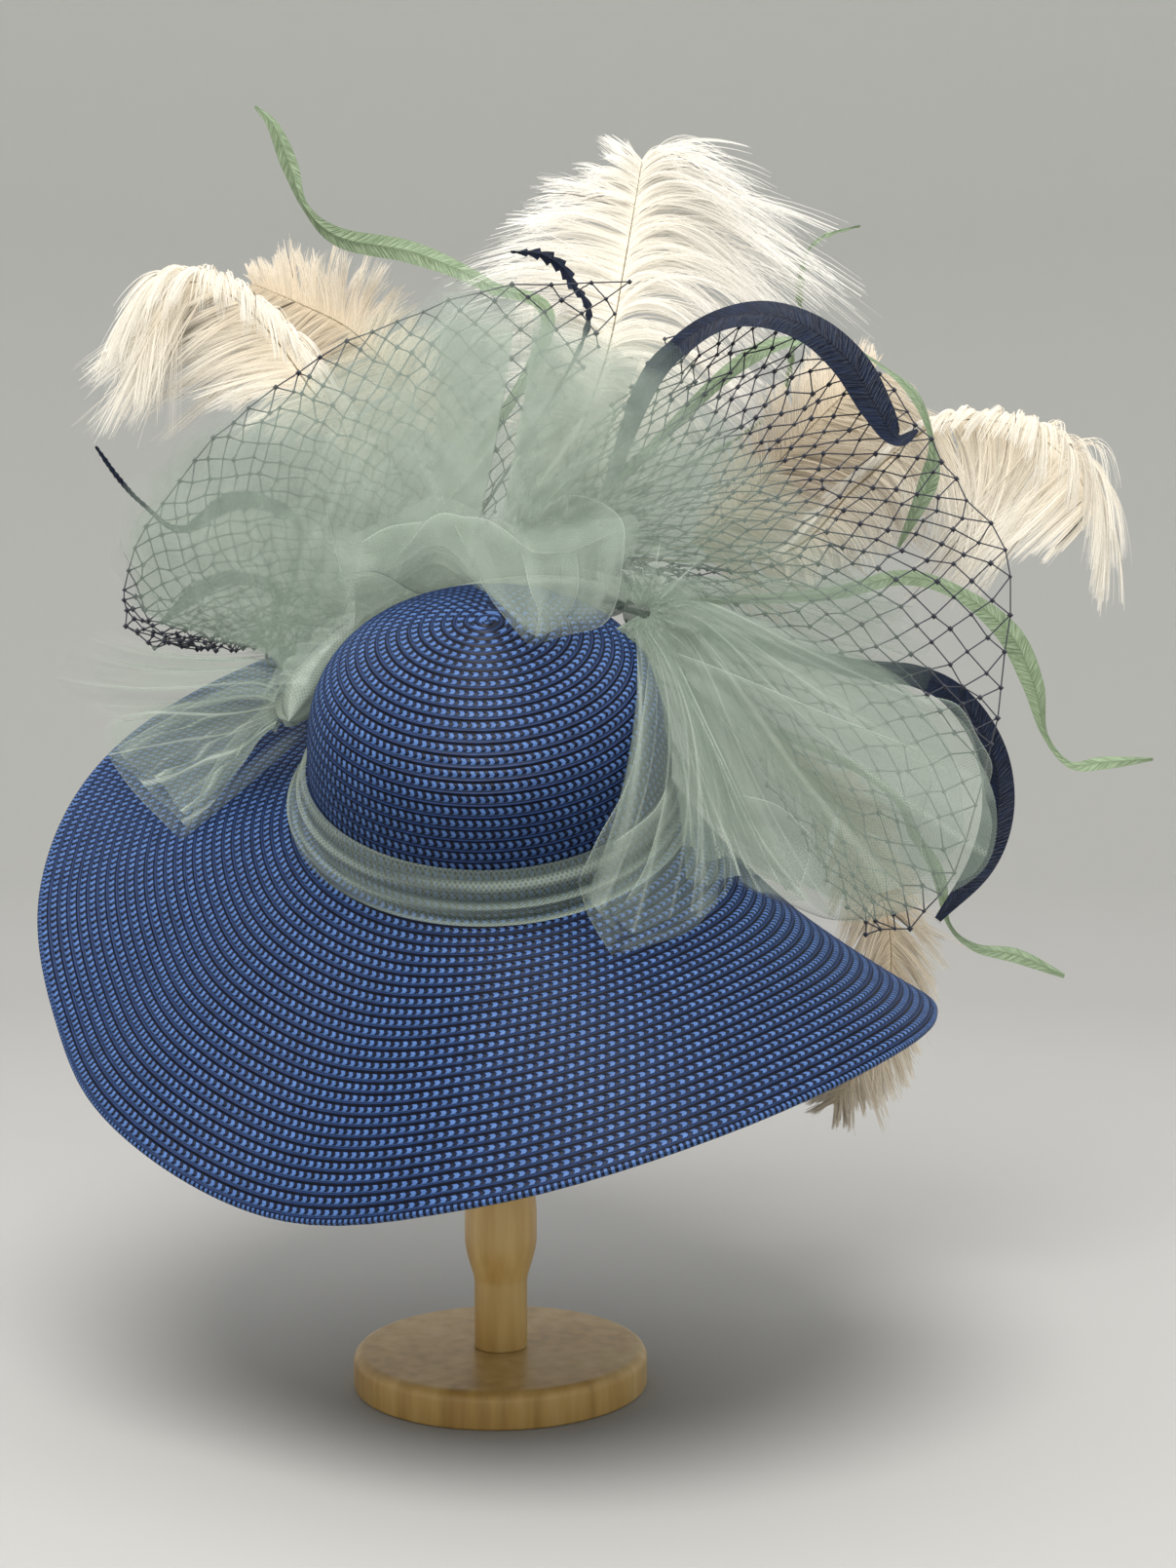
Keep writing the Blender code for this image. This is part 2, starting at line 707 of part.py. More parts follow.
def add_lock(points, faces, quad, plume, spot):
    """A tapered lock of barbs that grows out of one side face of the shaft."""
    place, side, station, face = spot
    root = np.array([points[corner] for corner in quad])
    start = root.mean(axis=0) - plume.barb(place, side, 0)
    half_run = np.linalg.norm(root[3] - root[0]) / 2
    lift = 2.4 if station % 2 == 0 else -2.4
    # columns: share of the way out, share of the run kept, half thickness, share of the lift
    sections = ((0.45, 0.6, 1.3, 1.0), (1.0, 0.2, 0.6, 1.6))
    previous = quad
    for part, keep, half_wall, shift in sections:
        centre = plume.barb(place, side, part) + start + face * lift * shift
        aim = unit(plume.barb(place, side, part) - plume.barb(place, side, part - 0.2))
        reach = np.linalg.norm(plume.barb(place, side, part) - plume.barb(place, side, 0))
        half_width = min(half_run * keep, 0.5 * reach)
        run = unit(np.cross(np.cross(aim, root[3] - root[0]), aim)) * half_width
        wall = unit(np.cross(aim, run)) * half_wall
        if np.dot(wall, root[1] - root[0]) > 0:
            wall = -wall
        ring = (centre - run + wall, centre - run - wall, centre + run - wall, centre + run + wall)
        first = len(points)
        points += list(ring)
        current = (first, first + 1, first + 2, first + 3)
        for edge in range(4):
            following = (edge + 1) % 4
            faces.append((previous[edge], previous[following], current[following], current[edge]))
        previous = current
    faces.append(previous)


def add_plumes():
    # columns of a side: lean along the shaft, fall x, y, z
    top = Plume((94, 0), PLUME_TOP, (1.3, 0.5, 0, -1.5), (0.25, 0.07, 0, -0.68))
    add_plume("plume_top", top, 7)
    left = Plume((142, -24), PLUME_LEFT, (0.5, -0.3, -0.6, -2.2), (0.7, -0.1, 0, -0.35))
    add_plume("plume_left", left, 6)
    back = Plume((128, -6), PLUME_LEFT_BACK, (0.5, 0.2, 0, -0.6), (0.6, 0, 0, -0.3))
    add_plume("plume_left_back", back, 6)
    right = Plume((67, 0), PLUME_RIGHT, (0.25, -0.45, 0, -0.3), (0.1, -0.1, -0.8, -2.4))
    add_plume("plume_right", right, 7)
    inner = Plume((74, 0), PLUME_INNER, (0.8, 0, 0, -0.2), (0.8, 0, 0, -0.2))
    add_plume("plume_inner", inner, 6)
    lower = Plume((53, -60), PLUME_LOWER, (0.9, 0, 0, -0.3), (0.9, 0, 0, -0.3))
    add_plume("plume_lower", lower, 6)


# Quills. Rows: x, y, z, width and twist in degrees.
QUILL_GREEN_1 = (
    (20, 140, 545, 8, 0),
    (-14, 158, 576, 9, 0),
    (-56, 168, 596, 13, 20),
    (-98, 170, 605, 11, 40),
    (-118, 170, 622, 5, 45),
    (-127, 170, 646, 10, 20),
    (-136, 168, 668, 7, 0),
    (-146, 168, 679, 2, 0),
)
QUILL_GREEN_2 = (
    (140, 190, 500, 5, 0),
    (165, 200, 552, 5, 0),
    (168, 200, 586, 6, 10),
    (171, 200, 602, 3, 40),
    (182, 200, 613, 6, 20),
    (203, 200, 619, 2, 0),
)
QUILL_GREEN_3 = (
    (104, 146, 508, 8, 0),
    (138, 148, 536, 11, 0),
    (162, 148, 543, 9, 20),
    (186, 148, 541, 5, 40),
    (206, 146, 530, 6, 40),
    (226, 142, 512, 8, 20),
    (236, 140, 486, 6, 40),
    (234, 140, 462, 11, 10),
    (217, 138, 426, 2, 0),
)
QUILL_GREEN_4 = (
    (168, 112, 398, 8, 0),
    (218, 132, 409, 10, 0),
    (250, 130, 400, 11, 10),
    (277, 128, 378, 15, 0),
    (291, 128, 350, 14, 10),
    (298, 128, 322, 8, 40),
    (312, 128, 305, 8, 30),
    (331, 128, 306, 9, 10),
    (358, 128, 308, 2, 0),
)
QUILL_GREEN_5 = (
    (196, 100, 300, 6, 0),
    (228, 140, 264, 7, 0),
    (243, 150, 241, 8, 0),
    (249, 150, 214, 5, 40),
    (263, 146, 201, 8, 30),
    (287, 144, 196, 10, 10),
    (313, 142, 185, 3, 0),
)
QUILL_NAVY_1 = (
    (74, 102, 508, 12, 0),
    (95, 105, 534, 15, 10),
    (117, 105, 547, 17, 10),
    (141, 104, 549, 19, 0),
    (166, 104, 540, 21, 0),
    (186, 104, 522, 22, 0),
    (200, 104, 499, 19, 0),
    (211, 104, 482, 13, 20),
    (222, 104, 487, 4, 30),
)
QUILL_NAVY_2 = (
    (180, 108, 360, 12, 0),
    (226, 128, 354, 15, 0),
    (252, 136, 340, 17, 0),
    (270, 138, 312, 18, 0),
    (274, 138, 279, 18, 0),
    (264, 136, 248, 15, 0),
    (239, 130, 218, 4, 0),
)
QUILL_NAVY_3 = (
    (-116, 126, 436, 5, 0),
    (-152, 136, 452, 14, 20),
    (-184, 138, 436, 5, 40),
    (-205, 136, 450, 3, 20),
    (-218, 132, 464, 4, 45),
    (-229, 128, 481, 2, 0),
)
QUILL_NAVY_4 = (
    (-126, 108, 400, 5, 0),
    (-152, 116, 408, 10, 10),
    (-172, 120, 400, 12, 20),
    (-192, 122, 384, 3, 0),
)
QUILL_NAVY_5 = (
    (40, 140, 540, 4, 0),
    (34, 150, 576, 8, 0),
    (20, 150, 590, 9, 30),
    (0, 150, 593, 2, 0),
)


def add_quills():
    green = GREEN_QUILL
    navy = NAVY_QUILL
    add_ribbon("quill_green_1", QUILL_GREEN_1, 16, green, (110, 0))
    add_ribbon("quill_green_2", QUILL_GREEN_2, 12, green, (86.5, 0))
    add_ribbon("quill_green_3", QUILL_GREEN_3, 14, green, (79, 0))
    add_ribbon("quill_green_4", QUILL_GREEN_4, 13, green, (60, -30))
    add_ribbon("quill_green_5", QUILL_GREEN_5, 11, green, (43, -72))
    add_ribbon("quill_navy_1", QUILL_NAVY_1, 13, navy, (64, 50))
    add_ribbon("quill_navy_2", QUILL_NAVY_2, 11, navy, (55, -34))
    add_ribbon("quill_navy_3", QUILL_NAVY_3, 9, navy, (146, -2))
    add_ribbon("quill_navy_4", QUILL_NAVY_4, 6, navy, (153, 0))
    add_ribbon("quill_navy_5", QUILL_NAVY_5, 7, navy, (100, 0))


def main():
    for piece in list(bpy.data.objects):
        bpy.data.objects.remove(piece)
    add_stand()
    add_crown()
    add_brim()
    add_band()
    add_tulle()
    add_veils()
    add_plumes()
    add_quills()


main()
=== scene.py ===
"""Looks of the race day hat: every piece is built from the same named sizes and tables as its solid.

Tables are in millimetres and degrees, in the part's own frame: +X to the wearer's left, +Y to the
back, +Z up, origin at the centre of the stand's underside.
"""

import json
import math

import bpy
import numpy as np
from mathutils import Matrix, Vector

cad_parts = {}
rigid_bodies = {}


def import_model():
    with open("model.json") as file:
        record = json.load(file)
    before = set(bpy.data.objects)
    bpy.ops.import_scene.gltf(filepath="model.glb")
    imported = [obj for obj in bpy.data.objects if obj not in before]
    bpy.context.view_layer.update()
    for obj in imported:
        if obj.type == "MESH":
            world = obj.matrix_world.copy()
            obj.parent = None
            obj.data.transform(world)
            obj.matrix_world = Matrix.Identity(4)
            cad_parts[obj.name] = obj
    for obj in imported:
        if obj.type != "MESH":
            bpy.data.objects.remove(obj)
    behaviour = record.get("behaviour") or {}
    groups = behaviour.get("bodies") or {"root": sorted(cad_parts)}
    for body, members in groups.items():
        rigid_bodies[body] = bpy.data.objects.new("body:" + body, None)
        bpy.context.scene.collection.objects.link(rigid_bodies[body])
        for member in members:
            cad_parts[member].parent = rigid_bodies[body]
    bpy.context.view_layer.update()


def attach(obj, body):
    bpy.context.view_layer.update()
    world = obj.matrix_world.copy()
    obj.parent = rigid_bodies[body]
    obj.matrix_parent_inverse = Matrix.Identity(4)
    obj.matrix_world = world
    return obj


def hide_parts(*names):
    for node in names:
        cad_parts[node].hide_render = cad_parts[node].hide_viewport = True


MM = 0.001
WORLD_BACK = np.array([0.0, 1.0, 0.0])
UP = np.array([0.0, 0.0, 1.0])
QUILL_FACING = np.array([0.0, 0.88, -0.48])

STAND_BASE_RADIUS = 73.0
STAND_BASE_HEIGHT = 18.0
STAND_POST_RADIUS = 13.2
STAND_BULGE_RADIUS = 18.0
STAND_HEAD_RADIUS = 47.0
STAND_HEAD_BOTTOM = 314.0
STAND_HEAD_TOP = 390.5
SEAT_GAP = 0.3

HAT_CENTRE = np.array([-4.1, 0.0, 289.7])
HAT_TILT = math.radians(28.9)
CROWN_HALF_WIDTH = 87.9
OVAL_RATIO = 1.15
CROWN_HEIGHT = 99.0
CROWN_SHOULDER = 4.70
CROWN_ROUNDNESS = 1.81

BRIM_HALF_WIDTH = 89.9
BRIM_REACH = 151.6
BRIM_WALL = 2.0
BRIM_CURL = -0.09
BRAID_PITCH = 5.4
STITCH_PITCH = 4.2

TULLE_CELL = 2.4
TULLE_SHADOW = 0.28
PLUME_SHADOW = 0.15
TULLE_LIT = np.array([0.0, -0.7, 0.7])
# Tulle colours: in painted shade, in light, and the painted highlight along creases
TULLE_SHADED = (0.155, 0.205, 0.158)
TULLE_IN_LIGHT = (0.405, 0.47, 0.40)
TULLE_EDGE_HIGHLIGHT = (0.68, 0.74, 0.65)

ROLL_RADIUS = 10.1
ROLL_RIDGE = 0.9
ROLL_RIDGES = 5
ROLL_START = 40.0
ROLL_END = 176.0
ROLL_HEIGHT_START = 71.0
ROLL_HEIGHT_END = 40.0
ROOT_GAP = 0.6
SHEET_GAP = 0.95
KNOT_GAP = 0.1
STEM_LEAD = 0.2
KNOT_RADIUS = 13.0
KNOT_ANGLE = 27.0
KNOT_HEIGHT = 74.0

# Droop of the brim below the hat's own level, in degrees, every 22.5 degrees
BRIM_DROOP = (44, 55, 59, 40, 16, 10, 11, 14, 21, 30, 28, 29, 14, 6, 9, 24)

# Points round the hat in the rows of braid, and how much longer the oval is than its circle
CROWN_COLUMNS = 190
CROWN_INSIDE_COLUMNS = 70
BRIM_COLUMNS = 300
UNDERSIDE_COLUMNS = 110
EVEN_ROWS = 30
SPIRAL_START = math.pi / 2
OVAL_MEAN = 1.07
EDGE_RADIUS = 1.5
EDGE_INSET = 1.2

# Points across and out in a layer of tulle, and along and across a folded edge
SHEET_COLUMNS = 96
SHEET_ROWS = 36
FOLD_STEPS = 24

NET_THREAD = 0.48
NET_KNOT = 1.6

# The camera stands in front of the hat and looks a little down. The photo's numbers are pixels.
CAMERA_PLACE = np.array([43.5, -1020.0, 334.0])
CAMERA_DOWN = math.radians(2)
CAMERA_LENS = 47.37
CAMERA_SENSOR = 36
PHOTO_WIDTH = 1207
PHOTO_HEIGHT = 1609
PHOTO_LENS = 2117.0
AHEAD = np.array([0.0, math.cos(CAMERA_DOWN), -math.sin(CAMERA_DOWN)])
ABOVE = np.array([0.0, math.sin(CAMERA_DOWN), math.cos(CAMERA_DOWN)])
RIGHT = np.array([1.0, 0.0, 0.0])

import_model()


# Curves and frames


def blend_four(before, start, end, after, part):
    """The Catmull-Rom blend of four neighbouring values."""
    slope = end - before
    bend = 2 * before - 5 * start + 4 * end - after
    twist = 3 * (start - end) + after - before
    return start + 0.5 * part * (slope + part * (bend + part * twist))


def along(rows, places):
    """Smooth values of a table with evenly spaced rows, at places from 0 to 1."""
    rows = np.asarray(rows, float)
    last = len(rows) - 1
    spot = np.clip(np.asarray(places, float), 0, 1) * last
    low = np.minimum(spot.astype(int), last - 1)
    part = (spot - low)[:, None]
    before = np.where((low > 0)[:, None], rows[np.maximum(low - 1, 0)], 2 * rows[low] - rows[low + 1])
    far = np.minimum(low + 2, last)
    beyond = 2 * rows[low + 1] - rows[low]
    after = np.where((low + 2 <= last)[:, None], rows[far], beyond)
    return blend_four(before, rows[low], rows[low + 1], after, part)


def round_table(values, angles):
    """Smooth values of a table that runs once round, at angles in radians."""
    values = np.asarray(values, float)
    spot = np.asarray(angles) / (2 * math.pi) * len(values) % len(values)
    low = spot.astype(int)
    four = [values[(low + step) % len(values)] for step in (-1, 0, 1, 2)]
    return blend_four(*four, spot - low)


def unit(vectors):
    vectors = np.asarray(vectors, float)
    return vectors / np.maximum(np.linalg.norm(vectors, axis=-1, keepdims=True), 1e-9)


def together(*fields):
    """Fields spread to one shape, side by side in the last place."""
    return np.stack(np.broadcast_arrays(*fields), -1)


def turn_to_world(vectors):
    """Directions in the hat's own tilted frame, in the world."""
    x, y, z = np.moveaxis(np.asarray(vectors, float), -1, 0)
    sine = math.sin(HAT_TILT)
    cosine = math.cos(HAT_TILT)
    return np.stack([x, y * cosine - z * sine, y * sine + z * cosine], -1)


def hat_to_world(points):
    return turn_to_world(points) + HAT_CENTRE


def oval_out(angle):
    """Level outward direction of the oval at an angle."""
    return unit(np.stack([np.cos(angle), np.sin(angle) / OVAL_RATIO, 0 * angle], -1))


def crown_radius(height):
    rise = 1 - (height / CROWN_HEIGHT) ** CROWN_SHOULDER
    return CROWN_HALF_WIDTH * np.maximum(rise, 0) ** (1 / CROWN_ROUNDNESS)


def crown_point(angle, height, out=0.0):
    """A point of the crown's outer skin, or that far off it along its normal."""
    angle = np.asarray(angle, float)
    height = height + 0 * angle
    radius = crown_radius(height)
    skin = np.stack([radius * np.cos(angle), radius * OVAL_RATIO * np.sin(angle), height], -1)
    slope = (radius - crown_radius(np.minimum(height + 0.5, CROWN_HEIGHT))) / 0.5
    normal = unit(oval_out(angle) + slope[..., None] * UP)
    return skin + np.asarray(out)[..., None] * normal


def smooth_noise(rng, shape, cells, size):
    """Soft noise from -1 to 1 on a grid, from a coarse random grid."""
    coarse = rng.uniform(-1, 1, (cells[0] + 3, cells[1] + 3))
    down = np.linspace(0, cells[0], shape[0])
    right = np.linspace(0, cells[1], shape[1])
    row = np.minimum(down.astype(int), cells[0] - 1)
    column = np.minimum(right.astype(int), cells[1] - 1)
    lines = [coarse[row + step] for step in range(4)]
    wide = blend_four(*lines, (down - row)[:, None])
    four = [wide[:, column + step] for step in range(4)]
    return size * blend_four(*four, (right - column)[None, :])


# Mesh makers


def grid_faces(rows, columns, first=0):
    """Four-sided faces of a grid of points, numbered row by row."""
    low = np.arange(rows - 1)[:, None] * columns + np.arange(columns - 1)[None, :]
    return np.stack([low, low + 1, low + 1 + columns, low + columns], -1).reshape(-1, 4) + first


def new_piece(name, points, faces, finish, nodes, values=None, normals=None):
    """A piece from points in millimetres and faces of one size, with named vector values."""
    points = np.asarray(points, np.float32).reshape(-1, 3) * MM
    faces = np.asarray(faces, np.int32)
    mesh = bpy.data.meshes.new(name)
    mesh.vertices.add(len(points))
    mesh.vertices.foreach_set("co", points.ravel())
    mesh.loops.add(faces.size)
    mesh.loops.foreach_set("vertex_index", faces.ravel())
    mesh.polygons.add(len(faces))
    mesh.polygons.foreach_set("loop_start", np.arange(len(faces), dtype=np.int32) * faces.shape[1])
    mesh.update(calc_edges=True)
    for key, data in (values or {}).items():
        made = mesh.attributes.new(key, "FLOAT_VECTOR", "POINT")
        made.data.foreach_set("vector", np.asarray(data, np.float32).ravel())
    mesh.validate()
    mesh.shade_smooth()
    if normals is not None:
        mesh.normals_split_custom_set_from_vertices(normals.reshape(-1, 3))
    mesh.materials.append(finish)
    piece = bpy.data.objects.new(name, mesh)
    bpy.context.scene.collection.objects.link(piece)
    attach(piece, "root")
    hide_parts(*nodes)
    return piece


def ribbons(centres, sides, half_widths):
    """Flat ribbons, one for each row of centre points. Returns points and faces."""
    count, steps, _ = centres.shape
    offset = sides * half_widths[..., None]
    grid = np.stack([centres - offset, centres + offset], 2)
    low = np.arange(count)[:, None] * steps * 2 + np.arange(steps - 1)[None, :] * 2
    faces = np.stack([low, low + 1, low + 3, low + 2], -1).reshape(-1, 4)
    return grid.reshape(-1, 3), faces


def rods(starts, ends, radius, sides=3):
    """Straight thin rods between points. Returns points and faces."""
    forward = unit(ends - starts)
    side = unit(np.cross(forward, WORLD_BACK + 0.01 * UP))
    other = np.cross(forward, side)
    turns = np.arange(sides) * 2 * math.pi / sides
    ring = side[:, None] * np.cos(turns)[:, None] + other[:, None] * np.sin(turns)[:, None]
    ring = ring * np.broadcast_to(radius, len(starts))[:, None, None]
    grid = np.stack([starts[:, None] + ring, ends[:, None] + ring], 1)
    low = np.arange(len(starts))[:, None] * 2 * sides + np.arange(sides)[None, :]
    right = np.arange(len(starts))[:, None] * 2 * sides + (np.arange(sides) + 1)[None, :] % sides
    faces = np.stack([low, right, right + sides, low + sides], -1).reshape(-1, 4)
    return grid.reshape(-1, 3), faces


# Materials


class Finish:
    """A short way to write a node material."""

    def __init__(self, name, roughness, sheen=0.0):
        self.made = bpy.data.materials.new(name)
        self.made.use_nodes = True
        self.tree = self.made.node_tree
        self.shader = self.tree.nodes["Principled BSDF"]
        self.shader.inputs["Roughness"].default_value = roughness
        self.shader.inputs["Sheen Weight"].default_value = sheen

    def node(self, kind, inputs=(), **settings):
        node = self.tree.nodes.new(kind)
        for key, value in settings.items():
            setattr(node, key, value)
        for key, value in dict(inputs).items():
            if isinstance(value, bpy.types.NodeSocket):
                self.tree.links.new(value, node.inputs[key])
            else:
                node.inputs[key].default_value = value
        return node

    def values(self, name):
        """The three values of a named attribute."""
        found = self.node("ShaderNodeAttribute", attribute_name=name)
        split = self.node("ShaderNodeSeparateXYZ", {0: found.outputs["Vector"]})
        return found.outputs["Vector"], *split.outputs

    def math(self, operation, *values):
        return self.node("ShaderNodeMath", dict(enumerate(values)), operation=operation).outputs[0]

    def times(self, first, second):
        return self.math("MULTIPLY", first, second)

    def levels(self, factor, *stops):
        """A grey ramp. Stops: place, brightness."""
        return self.ramp(factor, [(place, level, level, level) for place, level in stops])

    def noise(self, vector, scale, detail=2.0):
        inputs = {"Vector": vector, "Scale": scale, "Detail": detail}
        return self.node("ShaderNodeTexNoise", inputs).outputs["Fac"]

    def ramp(self, factor, stops):
        """Colours at places. Stops: place, red, green, blue."""
        node = self.node("ShaderNodeValToRGB", {0: factor})
        for index, (place, *colour) in enumerate(stops):
            fresh = index >= len(node.color_ramp.elements)
            element = node.color_ramp.elements.new(place) if fresh else node.color_ramp.elements[index]
            element.position = place
            element.color = (*colour, 1)
        return node.outputs["Color"]

    def mix(self, factor, first, second, blend="MIX"):
        node = self.node("ShaderNodeMix", data_type="RGBA", blend_type=blend)
        for index, value in ((0, factor), (6, first), (7, second)):
            if isinstance(value, bpy.types.NodeSocket):
                self.tree.links.new(value, node.inputs[index])
            elif index:
                node.inputs[index].default_value = (*value, 1)
            else:
                node.inputs[index].default_value = value
        return node.outputs[2]

    def bump(self, height, strength, distance):
        inputs = {"Height": height, "Strength": strength, "Distance": distance * MM}
        node = self.node("ShaderNodeBump", inputs)
        self.tree.links.new(node.outputs[0], self.shader.inputs["Normal"])

    def set(self, socket, value):
        self.tree.links.new(value, self.shader.inputs[socket])

    def thin(self, cover, shadow):
        """A thin layer that covers so much of what is behind it, and shades only a share of that."""
        falls = self.node("ShaderNodeLightPath").outputs["Is Shadow Ray"]
        self.set("Alpha", self.times(cover, self.math("MULTIPLY_ADD", falls, shadow - 1, 1.0)))


# Brightness across one row of braid: a painted highlight on the raised cord and painted shade in
# the groove. Columns: share across the row, brightness
STRAW_LIGHT_AND_SHADE = (
    (0.0, 0.05),
    (0.06, 0.52),
    (0.12, 0.58),
    (0.19, 0.14),
    (0.27, 0.0),
    (0.34, 0.0),
    (0.39, 0.12),
    (0.90, 0.10),
    (1.0, 0.02),
)
# Colours from painted shade to painted highlight. Columns: brightness, and its red, green and blue
STRAW_SHADING_COLOURS = (
    (0.0, 0.0, 0.001, 0.008),
    (0.30, 0.0035, 0.011, 0.042),
    (0.65, 0.012, 0.040, 0.145),
    (1.0, 0.085, 0.175, 0.41),
)


def straw_finish():
    """Sewn braid: values are stitches along, share across the row, and the row."""
    finish = Finish("straw_braid", 0.46)
    finish.shader.inputs["Specular IOR Level"].default_value = 0.22
    vector, stitch, across, _ = finish.values("braid")
    slant = finish.times(finish.math("ABSOLUTE", finish.math("SUBTRACT", across, 0.68)), 0.9)
    turn = finish.times(finish.math("ADD", stitch, slant), 2 * math.pi)
    swing = finish.math("MULTIPLY_ADD", finish.math("SINE", turn), 0.5, 0.5)
    band = finish.levels(across, (0.33, 0), (0.39, 1), (0.93, 1), (0.98, 0))
    stitches = finish.times(finish.levels(swing, (0.30, 0), (0.58, 1)), band)
    uneven = finish.noise(vector, 0.9, 3.0)
    # Painted highlight on the raised stitches and the cord, painted shade in the groove, and tone that
    # differs at random
    shading_and_tone = finish.math("ADD", finish.times(stitches, 0.80), finish.levels(across, *STRAW_LIGHT_AND_SHADE))
    shading_and_tone = finish.math("ADD", shading_and_tone, finish.times(finish.math("SUBTRACT", uneven, 0.5), 0.5))
    finish.set("Base Color", finish.ramp(shading_and_tone, STRAW_SHADING_COLOURS))
    finish.bump(stitches, 0.6, 0.5)
    return finish.made


def tulle_finish(name, thread, ripple=0.55):
    """Sheer tulle. Cloth values: millimetres across and out, and how dense it lies there.

    Fold values: a field that is 1 or -1 along creases, how strong its folds are, and a painted
    shade level with some random tone. The creases get a painted highlight.
    """
    finish = Finish(name, 0.8, 0.1)
    _, across, out, density = finish.values("cloth")
    _, level, strength, shading_and_tone = finish.values("fold")
    folded = finish.levels(level, (0.70, 0), (0.74, 1))
    peak = finish.levels(finish.math("ABSOLUTE", level), (0.86, 0), (0.96, 1))
    line = finish.times(peak, strength)
    extra = finish.math("MULTIPLY_ADD", folded, strength, finish.times(line, 1.4))
    layers = finish.times(finish.math("ADD", extra, 1.0), density)
    cover = finish.math("SUBTRACT", 1.0, finish.math("POWER", 1 - thread, layers))
    threads = []
    for turn in (1.0, -1.0):
        slant = finish.math("MULTIPLY_ADD", across, turn, out)
        wave = finish.math("SINE", finish.times(slant, math.pi / TULLE_CELL))
        threads.append(finish.math("ABSOLUTE", wave))
    mesh = finish.math("MULTIPLY_ADD", finish.times(*threads), -ripple, 1 + 0.41 * ripple)
    finish.thin(finish.math("MINIMUM", finish.times(cover, mesh), 0.97), TULLE_SHADOW)
    # Painted shade: the tone mixes the tulle from its shaded colour to its lit colour
    shade = finish.mix(shading_and_tone, TULLE_SHADED, TULLE_IN_LIGHT)
    # Painted highlight on the creases, where the doubled cloth is also denser
    finish.set("Base Color", finish.mix(finish.times(line, 0.6), shade, TULLE_EDGE_HIGHLIGHT))
    return finish.made


def plain_cloth_finish(name, low, high, roughness=0.8):
    finish = Finish(name, roughness, 0.2)
    vector = finish.node("ShaderNodeTexCoord").outputs["Object"]
    soft = finish.noise(vector, 160.0, 4.0)
    finish.set("Base Color", finish.mix(soft, low, high))
    finish.bump(soft, 0.3, 0.4)
    return finish.made


def plume_finish(name, root, tip):
    """Barbs: values are the share along the barb, a random share, and the share across from -1 to 1.

    A barb lets most of the light through, so its shadow is faint.
    """
    finish = Finish(name, 0.8, 0.3)
    _, part, chance, across = finish.values("barb")
    paler = finish.math("MULTIPLY_ADD", chance, 0.14, 0.86)
    finish.set("Base Color", finish.mix(1.0, finish.mix(part, root, tip), paler, "MULTIPLY"))
    core = finish.levels(finish.math("ABSOLUTE", across), (0.3, 0.85), (1.0, 0))
    finish.thin(core, PLUME_SHADOW)
    return finish.made


def quill_finish(name, dark, light, roughness, gloss):
    """Stripped quill: values are millimetres along, share across from -1 to 1, and length."""
    finish = Finish(name, roughness)
    finish.shader.inputs["Specular IOR Level"].default_value = gloss
    vector, run, across, _ = finish.values("quill")
    off_vein = finish.math("ABSOLUTE", across)
    slant = finish.math("MULTIPLY_ADD", off_vein, 6.0, run)
    stretched = finish.node("ShaderNodeCombineXYZ", {0: finish.times(slant, 0.8), 1: across}).outputs[0]
    fibres = finish.levels(finish.noise(stretched, 1.0, 3.0), (0.36, 0), (0.64, 1))
    patches = finish.noise(vector, 0.06, 2.0)
    colour = finish.mix(fibres, dark, light)
    vein = finish.levels(off_vein, (0.0, 1), (0.16, 0))
    colour = finish.mix(finish.times(patches, 0.6), colour, light)
    finish.set("Base Color", finish.mix(finish.times(vein, 0.5), colour, dark))
    finish.bump(fibres, 0.7, 0.5)
    return finish.made


def wood_finish():
    finish = Finish("wood_grain", 0.38)
    finish.shader.inputs["Coat Weight"].default_value = 0.25
    finish.shader.inputs["Coat Roughness"].default_value = 0.2
    vector = finish.node("ShaderNodeTexCoord").outputs["Object"]
    inputs = {"Vector": vector, "Scale": (9.0, 9.0, 0.9)}
    grain_space = finish.node("ShaderNodeMapping", inputs).outputs[0]
    grain = finish.noise(grain_space, 14.0, 6.0)
    wide = finish.noise(grain_space, 2.2, 2.0)
    both = finish.math("MULTIPLY_ADD", grain, 0.55, finish.times(wide, 0.45))
    stops = ((0.35, 0.50, 0.285, 0.075), (0.5, 0.67, 0.42, 0.13), (0.68, 0.80, 0.56, 0.22))
    finish.set("Base Color", finish.ramp(both, stops))
    finish.bump(grain, 0.15, 0.2)
    return finish.made


STRAW = straw_finish()
TULLE = tulle_finish("tulle_sheer", 0.19)
TULLE_SOFT = tulle_finish("tulle_soft", 0.19, 0.25)
TULLE_FULL = tulle_finish("tulle_gathered", 0.34)
NET = plain_cloth_finish("net_thread", (0.012, 0.014, 0.024), (0.03, 0.034, 0.055))
CREAM = plume_finish("plume_cream", (0.95, 0.89, 0.76), (0.98, 0.95, 0.88))
WARM = plume_finish("plume_warm", (0.95, 0.84, 0.66), (0.98, 0.93, 0.82))
# Peach plumes, their colour also darkened as painted shade for the plumes at the back, inside and below
PEACH_SHADED = plume_finish("plume_peach_shaded", (0.72, 0.60, 0.43), (0.80, 0.71, 0.57))
GREEN_QUILL = quill_finish("quill_green_finish", (0.10, 0.16, 0.07), (0.33, 0.42, 0.27), 0.55, 0.3)
NAVY_QUILL = quill_finish("quill_navy_finish", (0.0005, 0.001, 0.003), (0.007, 0.016, 0.046), 0.38, 0.22)
SHAFT = plain_cloth_finish("plume_shaft", (0.20, 0.15, 0.07), (0.34, 0.27, 0.15), 0.5)
WOOD = wood_finish()


# Stand


